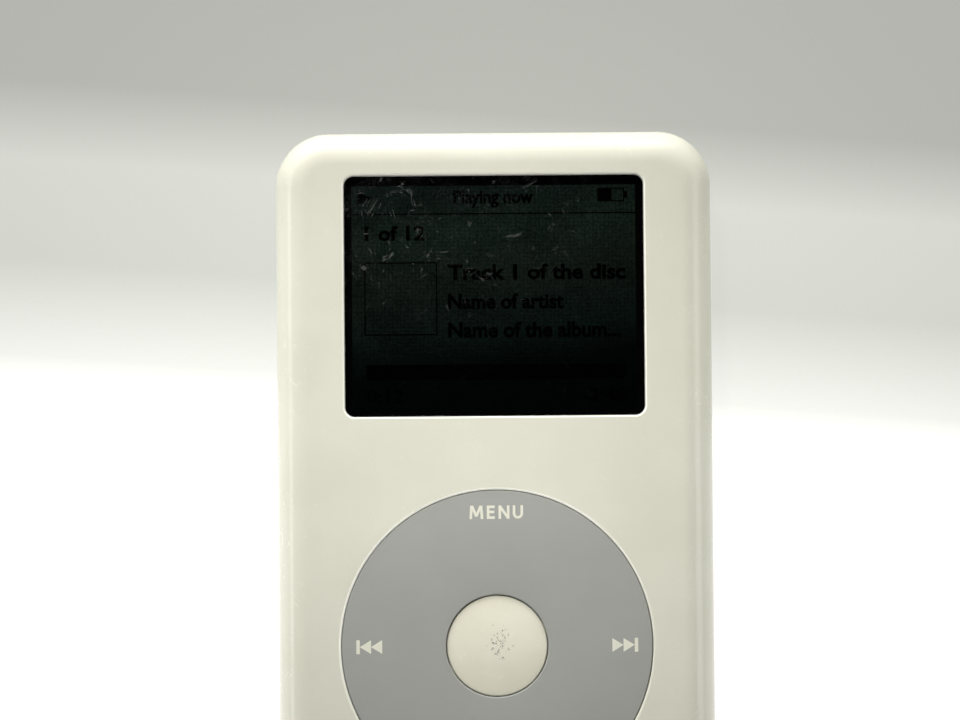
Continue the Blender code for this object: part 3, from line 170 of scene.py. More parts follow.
def circle(x, y, radius, steps=128):
    """Draws circles round one centre."""

    def draw(bm, grow, height):
        place = Matrix.Translation((x, y, height))
        made = bmesh.ops.create_circle(bm, segments=steps, radius=radius + grow, matrix=place)
        return list(dict.fromkeys(edge for vert in made["verts"] for edge in vert.link_edges))

    return draw


def arc(inset, height, radius, start, end, steps=8):
    """Points (inset, height) round a centre; 0 degrees is up and 90 is outwards."""
    turns = [math.radians(start + (end - start) * step / steps) for step in range(steps + 1)]
    return [(inset - radius * math.sin(turn), height + radius * math.cos(turn)) for turn in turns]


def edge_path(low, high, rounding, steps=5):
    """The way down a plate's side, from its top face to its bottom face, both edges rounded."""
    return [
        (rounding + STEADY, high),
        *arc(rounding, high - rounding, rounding, 0, 90, steps),
        (0.0, high - rounding - STEADY),
        (0.0, low + rounding + STEADY),
        *arc(rounding, low + rounding, rounding, 90, 180, steps),
        (rounding + STEADY, low),
    ]


def lip_path(low, high, rounding, steps=6):
    """The way down a hole's side, rounded only at the top."""
    return [
        (rounding + STEADY, high),
        *arc(rounding, high - rounding, rounding, 0, 90, steps),
        (0.0, high - rounding - STEADY),
        (0.0, low),
    ]


def rings(bm, draw, path, side=-1):
    """One outline for each step of a path; side -1 is an outside and 1 is a hole."""
    return [draw(bm, side * inset, height) for inset, height in path]


def skin(bm, outlines):
    """Faces from each outline to the next, which is held well clear while they are joined."""
    for one, following in zip(outlines, outlines[1:]):
        moved = list(dict.fromkeys(vert for edge in following for vert in edge.verts))
        bmesh.ops.translate(bm, vec=(0, 0, -CLEAR), verts=moved)
        bmesh.ops.bridge_loops(bm, edges=one + following)
        bmesh.ops.translate(bm, vec=(0, 0, CLEAR), verts=moved)


def close(bm, outlines):
    """A flat face inside the first outline and round the others."""
    edges = [edge for outline in outlines for edge in outline]
    bmesh.ops.triangle_fill(bm, use_beauty=True, use_dissolve=False, edges=edges, normal=(0, 0, 1))


def pierced(bm, outside, holes=()):
    """A closed body from its outside's outlines and its holes' outlines, top to bottom."""
    for outlines in (outside, *holes):
        skin(bm, outlines)
    for end in (0, -1):
        close(bm, [outside[end]] + [hole[end] for hole in holes])


def turned(corners, centre, steps=160):
    """A turned solid from (radius, height, rounding) corners round its section."""
    bm = bmesh.new()
    verts = [bm.verts.new((centre[0] + radius, centre[1], height)) for radius, height, _ in corners]
    bm.faces.new(verts)
    for vert, (_, _, rounding) in zip(verts, corners):
        if rounding:
            bmesh.ops.bevel(
                bm,
                geom=[vert],
                offset=rounding,
                segments=8,
                profile=0.5,
                affect="VERTICES",
                material=-1,
            )
    bmesh.ops.delete(bm, geom=list(bm.faces), context="FACES_ONLY")
    on_axis = [edge for edge in bm.edges if max(vert.co.x for vert in edge.verts) < centre[0] + WELD]
    bmesh.ops.delete(bm, geom=on_axis, context="EDGES")
    bmesh.ops.spin(
        bm,
        geom=list(bm.verts) + list(bm.edges),
        cent=(centre[0], centre[1], 0),
        axis=(0, 0, 1),
        angle=2 * math.pi,
        steps=steps,
        use_merge=True,
    )
    return bm


def prism(bm, middle, half, height, sides=4, turn=0.0):
    """An upright prism: a bar with four sides, a triangle with three."""
    radius = math.sqrt(2) if sides == 4 else 1.0
    start = math.pi / 4 if sides == 4 else turn - math.pi / 2
    place = (
        Matrix.Translation((middle[0], middle[1], sum(height) / 2))
        @ Matrix.Diagonal((half[0], half[1], 1.0, 1.0))
        @ Matrix.Rotation(start, 4, "Z")
    )
    bmesh.ops.create_cone(
        bm,
        cap_ends=True,
        segments=sides,
        radius1=radius,
        radius2=radius,
        depth=height[1] - height[0],
        matrix=place,
    )


def stroke(bm, start, end, weight, height):
    """A straight bar of a letter, from one point to another."""
    line = Vector(end) - Vector(start)
    middle = (Vector(start) + Vector(end)) / 2
    place = (
        Matrix.Translation((middle.x, middle.y, sum(height) / 2))
        @ Matrix.Rotation(math.atan2(line.y, line.x), 4, "Z")
        @ Matrix.Diagonal((line.length, weight, height[1] - height[0], 1.0))
    )
    bmesh.ops.create_cube(bm, size=1.0, matrix=place)


def words(bm, text, corner, extent, height):
    """Flat letters that fill a box of this extent, from its lower left corner."""
    drawing = bpy.data.curves.new("letters", "FONT")
    drawing.body = text
    drawing.extrude = 0.5
    drawing.offset = MARK_BOLD
    drawing.resolution_u = 4
    holder = bpy.data.objects.new("letters", drawing)
    scene.collection.objects.link(holder)
    depsgraph = bpy.context.evaluated_depsgraph_get()
    mesh = bpy.data.meshes.new_from_object(holder.evaluated_get(depsgraph))
    xs = [vert.co.x for vert in mesh.vertices]
    top = max(vert.co.y for vert in mesh.vertices)
    size = (extent[0] / (max(xs) - min(xs)), extent[1] / top, height[1] - height[0], 1.0)
    place = (corner[0] - min(xs) * size[0], corner[1], sum(height) / 2)
    mesh.transform(Matrix.Translation(place) @ Matrix.Diagonal(size))
    bm.from_mesh(mesh)
    bpy.data.objects.remove(holder)
    bpy.data.meshes.remove(mesh)


def piece(name, bm, body, finish, stands_for=(), place=None):
    """Makes a finished piece from its mesh, and lets it ride on its body."""
    if place:
        bmesh.ops.transform(bm, matrix=place, verts=bm.verts)
    bmesh.ops.remove_doubles(bm, verts=bm.verts, dist=WELD)
    bmesh.ops.recalc_face_normals(bm, faces=bm.faces)
    mesh = bpy.data.meshes.new(name)
    bm.to_mesh(mesh)
    bm.free()
    mesh.shade_smooth()
    mesh.set_sharp_from_angle(angle=math.radians(SHARP_TURN))
    mesh.materials.append(finish.material)
    made = bpy.data.objects.new(name, mesh)
    scene.collection.objects.link(made)
    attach(made, body)
    if stands_for:
        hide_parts(*stands_for)
    return made


def cut_away(made, cutter_bm):
    """Cuts a closed shape out of a piece."""
    bmesh.ops.recalc_face_normals(cutter_bm, faces=cutter_bm.faces)
    mesh = bpy.data.meshes.new("cutter")
    cutter_bm.to_mesh(mesh)
    cutter_bm.free()
    cutter = bpy.data.objects.new("cutter", mesh)
    scene.collection.objects.link(cutter)
    modifier = made.modifiers.new("cut", "BOOLEAN")
    modifier.operation = "DIFFERENCE"
    modifier.solver = "EXACT"
    modifier.object = cutter
    bpy.context.view_layer.update()
    depsgraph = bpy.context.evaluated_depsgraph_get()
    cut = bpy.data.meshes.new_from_object(made.evaluated_get(depsgraph))
    made.modifiers.clear()
    made.data = cut
    cut.name = made.name
    bpy.data.objects.remove(cutter)


# Finishes


def paint(red, green, blue):
    """A paint-chart colour, 0 to 255, as the shader's own numbers."""

    def linear(value):
        share = value / 255
        if share <= 0.04045:
            return share / 12.92
        return ((share + 0.055) / 1.055) ** 2.4

    return (linear(red), linear(green), linear(blue), 1.0)


def socket_name(word):
    """The shader's own name for a socket: base_color is Base Color."""
    return word.replace("_", " ").title().replace("Ior", "IOR")


class Socket:
    """A shader value. Sums on it add the Math nodes that work it out, from either side."""

    def __init__(self, finish, socket):
        self.finish = finish
        self.socket = socket

    def sum(self, operation, first, second=0.0, clamp=False):
        settings = {"operation": operation, "use_clamp": clamp}
        return self.finish.node("ShaderNodeMath", settings, {0: first, 1: second})

    def __add__(self, other):
        return self.sum("ADD", self, other)

    __radd__ = __add__

    def __sub__(self, other):
        return self.sum("SUBTRACT", self, other)

    def __rsub__(self, other):
        return self.sum("SUBTRACT", other, self)

    def __mul__(self, other):
        return self.sum("MULTIPLY", self, other)

    __rmul__ = __mul__

    def __truediv__(self, other):
        return self.sum("DIVIDE", self, other)

    def __rtruediv__(self, other):
        return self.sum("DIVIDE", other, self)

    def __abs__(self):
        return self.sum("ABSOLUTE", self)

    def __gt__(self, other):
        return self.sum("GREATER_THAN", self, other)

    def __lt__(self, other):
        return self.sum("LESS_THAN", self, other)

    def most(self, other):
        return self.sum("MAXIMUM", self, other)

    def clamped(self):
        return self.sum("ADD", self, 0.0, clamp=True)

    def rise(self, low, high):
        """0 below low, 1 above high, and smooth between."""
        settings = {"interpolation_type": "SMOOTHSTEP"}
        values = {"Value": self, "From Min": low, "From Max": high, "To Min": 0.0, "To Max": 1.0}
        return self.finish.node("ShaderNodeMapRange", settings, values)

    def beside(self, output):
        """Another output of the same node."""
        return Socket(self.finish, self.socket.node.outputs[output])


class Nodes:
    """A tree of shader nodes."""

    def __init__(self, tree):
        self.tree = tree
        tree.nodes.clear()

    def node(self, kind, settings=None, values=None, output=0):
        """Adds a node, and gives one of its outputs, or the node if it has none."""
        made = self.tree.nodes.new(kind)
        for name, value in (settings or {}).items():
            if name == "stops":
                ramp = made.color_ramp
                while len(ramp.elements) < len(value):
                    ramp.elements.new(1.0)
                for element, (position, colour) in zip(ramp.elements, value):
                    element.position = position
                    element.color = colour
            else:
                setattr(made, name, value)
        for name, value in (values or {}).items():
            self.join(made.inputs[name], value)
        return Socket(self, made.outputs[output]) if len(made.outputs) else made

    def join(self, socket, value):
        if isinstance(value, Socket):
            self.tree.links.new(value.socket, socket)
        else:
            socket.default_value = value

    def root(self, value):
        """A square root."""
        return self.node("ShaderNodeMath", {"operation": "SQRT"}, {0: value})

    def wave(self, value, length):
        """Runs between -1 and 1 and back once every length."""
        return self.node("ShaderNodeMath", {"operation": "SINE"}, {0: value * (2 * math.pi / length)})

    def mix(self, share, first, second, how="MIX"):
        """A colour between two colours."""
        settings = {"data_type": "RGBA", "blend_type": how}
        return self.node("ShaderNodeMix", settings, {0: share, 6: first, 7: second}, 2)

    def ramp(self, value, *stops):
        return self.node("ShaderNodeValToRGB", {"stops": stops}, {0: value})

    def shade(self, share, dark, light):
        """A grey factor between two brightnesses, as a colour to multiply by."""
        return self.mix(share, (dark, dark, dark, 1.0), (light, light, light, 1.0))


class Finish(Nodes):
    """A material whose patterns lie in the piece's own space."""

    def __init__(self, name, **constants):
        self.material = bpy.data.materials.new(name)
        self.material.use_nodes = True
        super().__init__(self.material.node_tree)
        self.place = self.node("ShaderNodeTexCoord", output="Object")
        self.surface = self.node("ShaderNodeBsdfPrincipled")
        self.output = self.node("ShaderNodeOutputMaterial", {}, {0: self.surface})
        self.feed(**constants)

    def feed(self, **sockets):
        """Sets or joins the shader's sockets."""
        for name, value in sockets.items():
            self.join(self.surface.socket.node.inputs[socket_name(name)], value)

    def axis(self, name):
        return self.node("ShaderNodeSeparateXYZ", {}, {0: self.place}, name)

    def laid(self, stretch, turn=0.0):
        """The piece's own space, turned about Z and measured in steps of stretch."""
        values = {"Vector": self.place, "Rotation": (0, 0, turn), "Scale": stretch}
        return self.node("ShaderNodeMapping", {"vector_type": "TEXTURE"}, values)

    def grain(self, size, detail=2.0, stretch=None, turn=0.0, warp=0.0):
        """Soft noise with patches of about this size."""
        where = self.laid(stretch or (size, size, size), turn)
        values = {"Vector": where, "Scale": 1.0, "Detail": detail, "Distortion": warp}
        return self.node("ShaderNodeTexNoise", {}, values)

    def scratches(self, spacing, length, width, turn, level=0.58, warp=0.3):
        """Thin marks that run mostly one way, in scattered patches."""
        lines = self.grain(0, 1.0, (length, spacing, spacing), turn, warp)
        patches = self.grain(0, 1.0, (length * 0.4, spacing * 3, spacing * 3), turn + 0.5)
        near = 1 - abs(lines - 0.5).rise(0.0, width / spacing)
        return near * patches.rise(level, level + 0.08)

    def specks(self, spacing, size, share):
        """Scattered dots; share is how many of their places are filled."""
        values = {"Vector": self.place, "Scale": 1 / spacing}
        dots = self.node("ShaderNodeTexVoronoi", {}, values, "Distance")
        chance = self.node("ShaderNodeSeparateColor", {}, {0: dots.beside("Color")}, 0)
        reach = size / spacing
        return (1 - dots.rise(reach * 0.4, reach)) * (chance < share)

    def bump(self, height, depth):
        """Raises the surface by up to depth."""
        values = {"Height": height, "Distance": depth, "Strength": 1.0}
        self.feed(normal=self.node("ShaderNodeBump", {}, values))


def painted_lip_highlights(finish):
    """A mask of painted highlight along the cut edges round the window and the wheel, stronger towards
    the upper left of the wheel.
    """
    across = finish.axis("X")
    along = finish.axis("Y")
    window_middle = sum(WINDOW_Y) / 2
    straight = (WINDOW_Y[1] - WINDOW_Y[0]) / 2 - WINDOW_CORNER
    past_x = (abs(across) - (WINDOW_HALF_WIDTH - WINDOW_CORNER)).most(0.0)
    past_y = (abs(along - window_middle) - straight).most(0.0)
    window = finish.root(past_x * past_x + past_y * past_y) - WINDOW_CORNER
    off = along - WHEEL_Y
    wheel = finish.root(across * across + off * off) - WHEEL_RADIUS
    # The wheel's painted highlight is weighted towards its upper left, where the light falls.
    upper = (off - across * 0.3).rise(-10 * MM, 18 * MM)
    window_edge_highlight = 1 - window.rise(WINDOW_LIP * 0.5, WINDOW_LIP)
    wheel_edge_highlight = (1 - wheel.rise(WHEEL_LIP * 0.6, WHEEL_LIP * 1.15)) * upper
    return (window_edge_highlight * 0.6).most(wheel_edge_highlight)


def ivory():
    """Glossy moulded polycarbonate with hairlines, scuffs and a little dust, and painted highlights
    with a faint glow along the window and wheel edges.
    """
    finish = Finish("ivory_gloss", ior=1.5)
    mottle = finish.grain(14 * MM, 3.0)
    hairs = finish.scratches(0.9 * MM, 7 * MM, 0.016 * MM, 0.35, 0.56)
    hairs = hairs.most(finish.scratches(1.1 * MM, 6 * MM, 0.015 * MM, -0.9, 0.58))
    hairs = hairs.most(finish.scratches(1.4 * MM, 9 * MM, 0.018 * MM, 1.7, 0.6))
    scuffs = finish.scratches(0.5 * MM, 2.2 * MM, 0.05 * MM, 0.2, 0.66, 1.0)
    edge_x = abs(finish.axis("X")).rise(24 * MM, 30 * MM)
    edge_y = abs(finish.axis("Y")).rise(45 * MM, 51.5 * MM)
    edge = edge_x.most(edge_y)
    marks = hairs * (0.12 + 0.5 * edge) + scuffs * 0.22
    cloud = finish.grain(1.1 * MM, 4.0)
    colour = finish.mix(mottle.rise(0.35, 0.65), paint(214, 213, 197), paint(218, 217, 202))
    colour = finish.mix(marks.clamped() * 0.55, colour, paint(236, 235, 222))
    # Painted highlight: the window and wheel edges are made paler and given a faint glow.
    painted_lip_light = painted_lip_highlights(finish)
    colour = finish.mix(painted_lip_light, colour, paint(253, 252, 242))
    dusting = finish.grain(0.17 * MM, 2.0).rise(0.58, 0.72)
    dusting = dusting * finish.grain(8 * MM, 2.0).rise(0.46, 0.66)
    colour = finish.mix(dusting * 0.4, colour, paint(238, 237, 224))
    dirt = finish.specks(2.4 * MM, 0.08 * MM, 0.06) * 0.3
    colour = finish.mix(dirt, colour, paint(120, 112, 92))
    finish.feed(
        base_color=colour,
        roughness=0.11 + 0.10 * cloud + 0.3 * marks,
        emission_color=finish.mix(painted_lip_light, (0, 0, 0, 1), (0.17, 0.168, 0.15, 1)),
        emission_strength=1.0,
    )
    finish.bump(marks * 0.7 + cloud * 0.25, 0.006 * MM)
    return finish


def window_glass():
    """Clear plastic: gloss that grows at low angles, and dust and scratches that catch the light."""
    finish = Finish("window_plastic", ior=1.49)
    outer = 1 - finish.node("ShaderNodeNewGeometry", output="Backfacing")
    gloss = finish.node("ShaderNodeFresnel", {}, {"IOR": 1.49})
    corner = (0.45 - finish.axis("X") / (44 * MM)).clamped() * finish.axis("Y").rise(20 * MM, 44 * MM)
    corner = 0.07 + 0.93 * corner
    patch = finish.grain(4 * MM, 3.0).rise(0.40, 0.64)
    fine = finish.grain(0.10 * MM, 1.0).rise(0.61, 0.72)
    coarse = finish.specks(1.9 * MM, 0.13 * MM, 0.22)
    hairs = finish.scratches(0.46 * MM, 6.0 * MM, 0.013 * MM, 1.1, 0.66, 0.05)
    for turn, level in ((0.12, 0.63), (-0.8, 0.66), (1.75, 0.65), (0.6, 0.67)):
        hairs = hairs.most(finish.scratches(0.46 * MM, 6.0 * MM, 0.013 * MM, turn, level, 0.05))
    dust = (fine * (0.006 + 0.050 * patch) + hairs * 0.065) * corner
    marks = (dust + coarse * 0.06 * (0.2 + corner)).clamped()
    finish.feed(
        base_color=finish.mix(marks.rise(0.0, 0.05), (1, 1, 1, 1), paint(196, 200, 196)),
        metallic=1 - marks.rise(0.0, 0.03),
        roughness=0.03 + 0.5 * marks.rise(0.0, 0.05),
        alpha=((gloss + marks) * outer).clamped(),
    )
    return finish


def panel_painted_glow():
    """A colour display that is off its light: faint cell grid under a painted glow that stands for
    light falling on it, lighter near the top.
    """
    finish = Finish("display_cells", roughness=0.5, specular_ior_level=0.02, emission_strength=1.0)
    across = finish.axis("X")
    along = finish.axis("Y")
    height = (along - VIEW_Y[0]) / (VIEW_Y[1] - VIEW_Y[0]) - across / (260 * MM)
    # Painted light: the glow is lighter towards the top and a little to the left, with painted shade
    # along the very top edge.
    tone = finish.ramp(
        height,
        (0.0, (0.0002, 0.0006, 0.0005, 1)),
        (0.20, (0.0004, 0.0011, 0.0009, 1)),
        (0.36, (0.0020, 0.0042, 0.0034, 1)),
        (0.58, (0.0038, 0.0060, 0.0046, 1)),
        (0.80, (0.0050, 0.0092, 0.0068, 1)),
        (1.0, (0.0036, 0.0066, 0.0052, 1)),
    )
    soft = finish.grain(7 * MM, 3.0)
    speckle = finish.grain(0.33 * MM, 2.0)
    grid = finish.wave(along, CELL) * 0.10 + finish.wave(across, CELL) * 0.10
    tone = finish.mix(1.0, tone, finish.shade((soft + grid).clamped(), 0.45, 1.55), "MULTIPLY")
    tone = finish.mix(1.0, tone, finish.shade(speckle.rise(0.2, 0.8), 0.5, 1.5), "MULTIPLY")
    # The unlit display glows with this painted light.
    finish.feed(emission_color=tone, base_color=finish.mix(0.85, tone, (0.0, 0.0, 0.0, 1)))
    return finish


def matte_plastic(name, colour, roughness=0.55, size=0.12, depth=0.006, spread=0.06):
    """Moulded plastic with a fine spark-eroded grain."""
    finish = Finish(name, ior=1.46)
    fine = finish.grain(size * MM, 3.0)
    broad = finish.grain(size * 60 * MM, 2.0)
    tone = finish.shade((fine * 0.5 + broad * 0.5).rise(0.3, 0.7), 1 - spread, 1 + spread)
    rubbed = finish.scratches(1.2 * MM, 5 * MM, 0.03 * MM, 0.6, 0.6)
    finish.feed(
        base_color=finish.mix(1.0, colour, tone, "MULTIPLY"),
        roughness=roughness - 0.08 + 0.16 * fine - 0.12 * rubbed,
    )
    finish.bump(fine + rubbed * 0.3, depth * MM)
    return finish


def button_gloss():
    """The select button: glossy, with a rubbed middle full of small dark pits."""
    finish = Finish("button_gloss", ior=1.5)
    across = finish.axis("X") - 0.3 * MM
    along = finish.axis("Y") + 19.4 * MM
    middle = 1 - finish.root(across * across + along * along * 0.7).rise(0.6 * MM, 3.0 * MM)
    patches = finish.grain(0.75 * MM, 3.0)
    pits = finish.specks(0.21 * MM, 0.13 * MM, 0.6) * (patches + middle * 0.32).rise(0.72, 0.86)
    deep = finish.specks(0.7 * MM, 0.15 * MM, 0.22) * middle.rise(0.25, 0.6)
    hairs = finish.scratches(0.8 * MM, 4 * MM, 0.02 * MM, 0.8, 0.58)
    mottle = finish.grain(6 * MM).rise(0.35, 0.65)
    colour = finish.mix(mottle, paint(221, 218, 200), paint(226, 223, 206))
    colour = finish.mix((pits * 0.75 + deep * 0.9).clamped(), colour, paint(58, 56, 48))
    finish.feed(base_color=colour, roughness=0.22 + 0.2 * hairs)
    finish.bump(hairs * 0.4 - pits, 0.006 * MM)
    return finish


def metal(name, colour, roughness, turn=0.0, brushed=0.5, depth=0.003, spread=0.12):
    """Sheet, plated or cast metal: brushing, small dents and fine scratches."""
    finish = Finish(name, metallic=1.0)
    brush = finish.grain(0, 3.0, (9 * MM, 0.10 * MM, 0.10 * MM), turn)
    cloud = finish.grain(3.5 * MM, 4.0)
    marks = finish.scratches(0.8 * MM, 5 * MM, 0.02 * MM, turn + 0.7, 0.58)
    blend = brush * brushed + cloud * (1 - brushed)
    tone = finish.shade(blend.rise(0.3, 0.7), 1 - spread, 1 + spread * 0.5)
    finish.feed(
        base_color=finish.mix(1.0, colour, tone, "MULTIPLY"),
        roughness=(roughness + roughness * (blend - 0.5) + 0.15 * marks).clamped(),
    )
    finish.bump(blend + marks * 0.5, depth * MM)
    return finish


def polished_back():
    """Mirror-polished stainless steel, covered in the fine hairlines of a pocket."""
    finish = Finish("polished_steel", metallic=1.0)
    hairs = finish.scratches(0.8 * MM, 14 * MM, 0.012 * MM, 0.25, 0.5, 0.4)
    for turn, level in ((1.1, 0.54), (2.0, 0.52), (-0.5, 0.56)):
        hairs = hairs.most(finish.scratches(1.1 * MM, 11 * MM, 0.012 * MM, turn, level, 0.5))
    haze = finish.grain(9 * MM, 5.0).rise(0.35, 0.7)
    edge = abs(finish.axis("X")).rise(25 * MM, 30.2 * MM)
    colour = finish.mix(hairs * 0.5, paint(206, 206, 204), paint(232, 232, 230))
    finish.feed(base_color=colour, roughness=0.035 + 0.05 * haze + 0.05 * edge + 0.22 * hairs)
    finish.bump(hairs * -0.6 + finish.grain(5 * MM, 2.0) * 0.8, 0.004 * MM)
    return finish


def circuit_board():
    """Green solder mask over copper tracks, with plated holes."""
    finish = Finish("circuit_board", roughness=0.32)
    settings = {"offset": 0.37, "offset_frequency": 3, "squash": 0.6, "squash_frequency": 2}
    values = {
        "Vector": finish.place,
        "Scale": 260.0,
        "Mortar Size": 0.030,
        "Mortar Smooth": 0.2,
        "Brick Width": 0.9,
        "Row Height": 0.22,
    }
    tracks = finish.node("ShaderNodeTexBrick", settings, values, "Fac")
    holes = finish.specks(2.1 * MM, 0.42 * MM, 0.45)
    drills = finish.specks(2.1 * MM, 0.18 * MM, 0.45)
    weave = finish.grain(0.35 * MM, 2.0)
    mask = finish.mix(weave.rise(0.3, 0.7), paint(14, 62, 40), paint(22, 78, 50))
    colour = finish.mix(tracks, mask, paint(46, 116, 72))
    colour = finish.mix(holes, colour, paint(196, 170, 110))
    colour = finish.mix(drills, colour, paint(18, 20, 16))
    finish.feed(base_color=colour, metallic=(holes - drills).clamped() * 0.9)
    finish.bump(tracks * 0.6 + holes + weave * 0.1, 0.02 * MM)
    return finish


def foam(name, colour):
    """Open-cell foam."""
    finish = Finish(name, roughness=0.9)
    values = {"Vector": finish.place, "Scale": 4200.0}
    cells = finish.node("ShaderNodeTexVoronoi", {}, values, "Distance")
    tone = finish.shade(cells.rise(0.1, 0.7), 0.6, 1.5)
    finish.feed(base_color=finish.mix(1.0, colour, tone, "MULTIPLY"))
    finish.bump(cells, 0.08 * MM)
    return finish


def ribbon_film():
    """Amber film with rows of copper lines."""
    finish = Finish("ribbon_film", roughness=0.34)
    lines = finish.wave(finish.axis("X"), 0.5 * MM).rise(-0.1, 0.3)
    grain = finish.grain(1.2 * MM, 3.0)
    film = finish.mix(grain.rise(0.3, 0.7), paint(176, 98, 28), paint(196, 118, 40))
    finish.feed(base_color=finish.mix(lines * 0.6, film, paint(150, 72, 22)))
    finish.bump(lines + grain * 0.2, 0.015 * MM)
    return finish


def battery_skin():
    """Satin aluminium pouch, a little dimpled."""
    finish = Finish("battery_skin", metallic=0.85)
    dimples = finish.grain(2.6 * MM, 2.0)
    fine = finish.grain(0.14 * MM, 2.0)
    finish.feed(
        base_color=finish.mix(dimples.rise(0.3, 0.7), paint(186, 188, 192), paint(206, 208, 212)),
        roughness=0.34 + 0.12 * fine,
    )
    finish.bump(dimples + fine * 0.1, 0.05 * MM)
    return finish


def platter_finish(middle):
    """A mirror disc with very fine turned rings."""
    finish = Finish("platter_mirror", metallic=1.0)
    across = finish.axis("X") - middle.x
    along = finish.axis("Y") - middle.y
    turns = finish.wave(finish.root(across * across + along * along), 0.3 * MM)
    haze = finish.grain(6 * MM, 3.0)
    finish.feed(
        base_color=finish.mix(turns.rise(-1, 1), paint(206, 204, 200), paint(214, 212, 208)),
        roughness=0.03 + 0.03 * haze,
    )
    finish.bump(turns, 0.0004 * MM)
    return finish


# Stage


def hang(lamp, place, aim, mirrored):
    """Puts up a lamp that points at aim; mirrored lamps show in gloss."""
    lamp.color = LAMP_COLOUR
    holder = bpy.data.objects.new(lamp.name, lamp)
    holder.location = place
    holder.rotation_euler = (Vector(aim) - Vector(place)).to_track_quat("-Z", "Y").to_euler()
    holder.visible_glossy = mirrored
    scene.collection.objects.link(holder)


def room_and_lamps():
    """Pale walls low round the object, and soft lamps on all sides."""
    room = bpy.data.worlds.new("studio")
    scene.world = room
    room.use_nodes = True
    walls = Nodes(room.node_tree)
    level = walls.node("ShaderNodeTexCoord", output="Generated")
    rise = walls.node("ShaderNodeSeparateXYZ", {}, {0: level}, "Z")
    tone = walls.ramp(
        rise,
        (0.0, (0.76, 0.76, 0.74, 1)),
        (0.42, (0.42, 0.42, 0.41, 1)),
        (0.64, (0.10, 0.10, 0.10, 1)),
        (0.82, (0.004, 0.004, 0.004, 1)),
    )
    light = walls.node("ShaderNodeBackground", {}, {"Color": tone, "Strength": 1.0})
    walls.node("ShaderNodeOutputWorld", {}, {0: light})

    lamps = (
        ("lamp_top", (-0.08, 0.40, 0.13), (0.50, 0.24), 0.85, True),
        ("lamp_top_soft", (-0.08, 0.40, 0.15), (0.50, 0.24), 1.35, False),
        ("lamp_left", (-0.48, 0.04, 0.20), (0.70, 0.055), 0.52, True),
        ("lamp_right", (0.85, 0.05, 0.50), (0.7, 0.40), 1.5, True),
        ("lamp_bottom", (-0.05, -0.85, 0.45), (0.9, 0.35), 0.45, True),
        ("lamp_under", (0.0, 0.0, -0.7), (0.9, 0.9), 6.0, True),
    )
    for name, place, size, power, mirrored in lamps:
        lamp = bpy.data.lights.new(name, "AREA")
        lamp.shape = "RECTANGLE"
        lamp.size, lamp.size_y = size
        lamp.energy = power
        hang(lamp, place, (0.0, 0.0, 0.0), mirrored)

    lamp = bpy.data.lights.new("lamp_spot", "SPOT")
    lamp.spot_size = math.radians(9.2)
    lamp.spot_blend = 1.0
    lamp.shadow_soft_size = 0.05
    lamp.energy = 21.0
    hang(lamp, (-0.15, 0.35, 0.60), SPOT_AIM, False)


def paper_floor():
    """A pale paper floor that glows with painted light: brighter near the front, with a painted pool of
    light round the object, and seen only from above.
    """
    bm = bmesh.new()
    bmesh.ops.create_grid(bm, x_segments=1, y_segments=1, size=2.0)
    bmesh.ops.translate(bm, vec=(0, 0, -FLOOR_DROP), verts=bm.verts)
    mesh = bpy.data.meshes.new("floor")
    bm.to_mesh(mesh)
    bm.free()
    floor = bpy.data.objects.new("floor", mesh)
    scene.collection.objects.link(floor)
    paper = Finish("floor_paper", roughness=0.9, emission_strength=1.18, specular_ior_level=0.0)
    across = paper.axis("X")
    along = paper.axis("Y")
    fine = paper.shade(paper.grain(0.6 * MM, 3.0), 0.985, 1.015)
    # Painted light: the floor's glow falls off towards the back and a little to the right.
    painted_floor_light = paper.ramp(
        along / FLOOR_LIGHT_FADE + across / FLOOR_LIGHT_SLANT + 0.5,
        (0.528, (1.0, 1.0, 1.0, 1)),
        (0.573, (0.92, 0.93, 0.88, 1)),
        (0.609, (0.69, 0.698, 0.655, 1)),
        (0.701, (0.503, 0.514, 0.473, 1)),
        (0.798, (0.53, 0.537, 0.497, 1)),
        (0.875, (0.365, 0.370, 0.340, 1)),
    )
    # Painted pool of light: the floor is up to a tenth brighter within about 35 to 105 mm of the
    # object's middle.
    off = paper.root(across * across + along * along)
    near = paper.shade(off.rise(35 * MM, 105 * MM), 1.10, 1.0)
    painted_floor_light = paper.mix(1.0, painted_floor_light, near, "MULTIPLY")
    painted_floor_light = paper.mix(1.0, painted_floor_light, fine, "MULTIPLY")
    paper.feed(emission_color=painted_floor_light, base_color=paper.mix(0.9, painted_floor_light, (0.0, 0.0, 0.0, 1.0)))
    behind = paper.node("ShaderNodeNewGeometry", output="Backfacing")
    clear = paper.node("ShaderNodeBsdfTransparent")
    shown = paper.node("ShaderNodeMixShader", {}, {0: behind, 1: paper.surface, 2: clear})
    paper.join(paper.output.inputs[0], shown)
    mesh.materials.append(paper.material)


def set_camera():
    """A long lens, looking almost straight down on the front."""
    view = bpy.data.cameras.new("camera")
    view.sensor_width = 36.0
    view.lens = 108.05
    view.clip_start = 0.01
    camera = bpy.data.objects.new("camera", view)
    camera.location = (-4.7685 * MM, 10.8607 * MM, 416.006 * MM)
    camera.rotation_euler = [math.radians(turn) for turn in (1.314, -0.376, -0.488)]
    scene.collection.objects.link(camera)
    scene.camera = camera


# Pieces


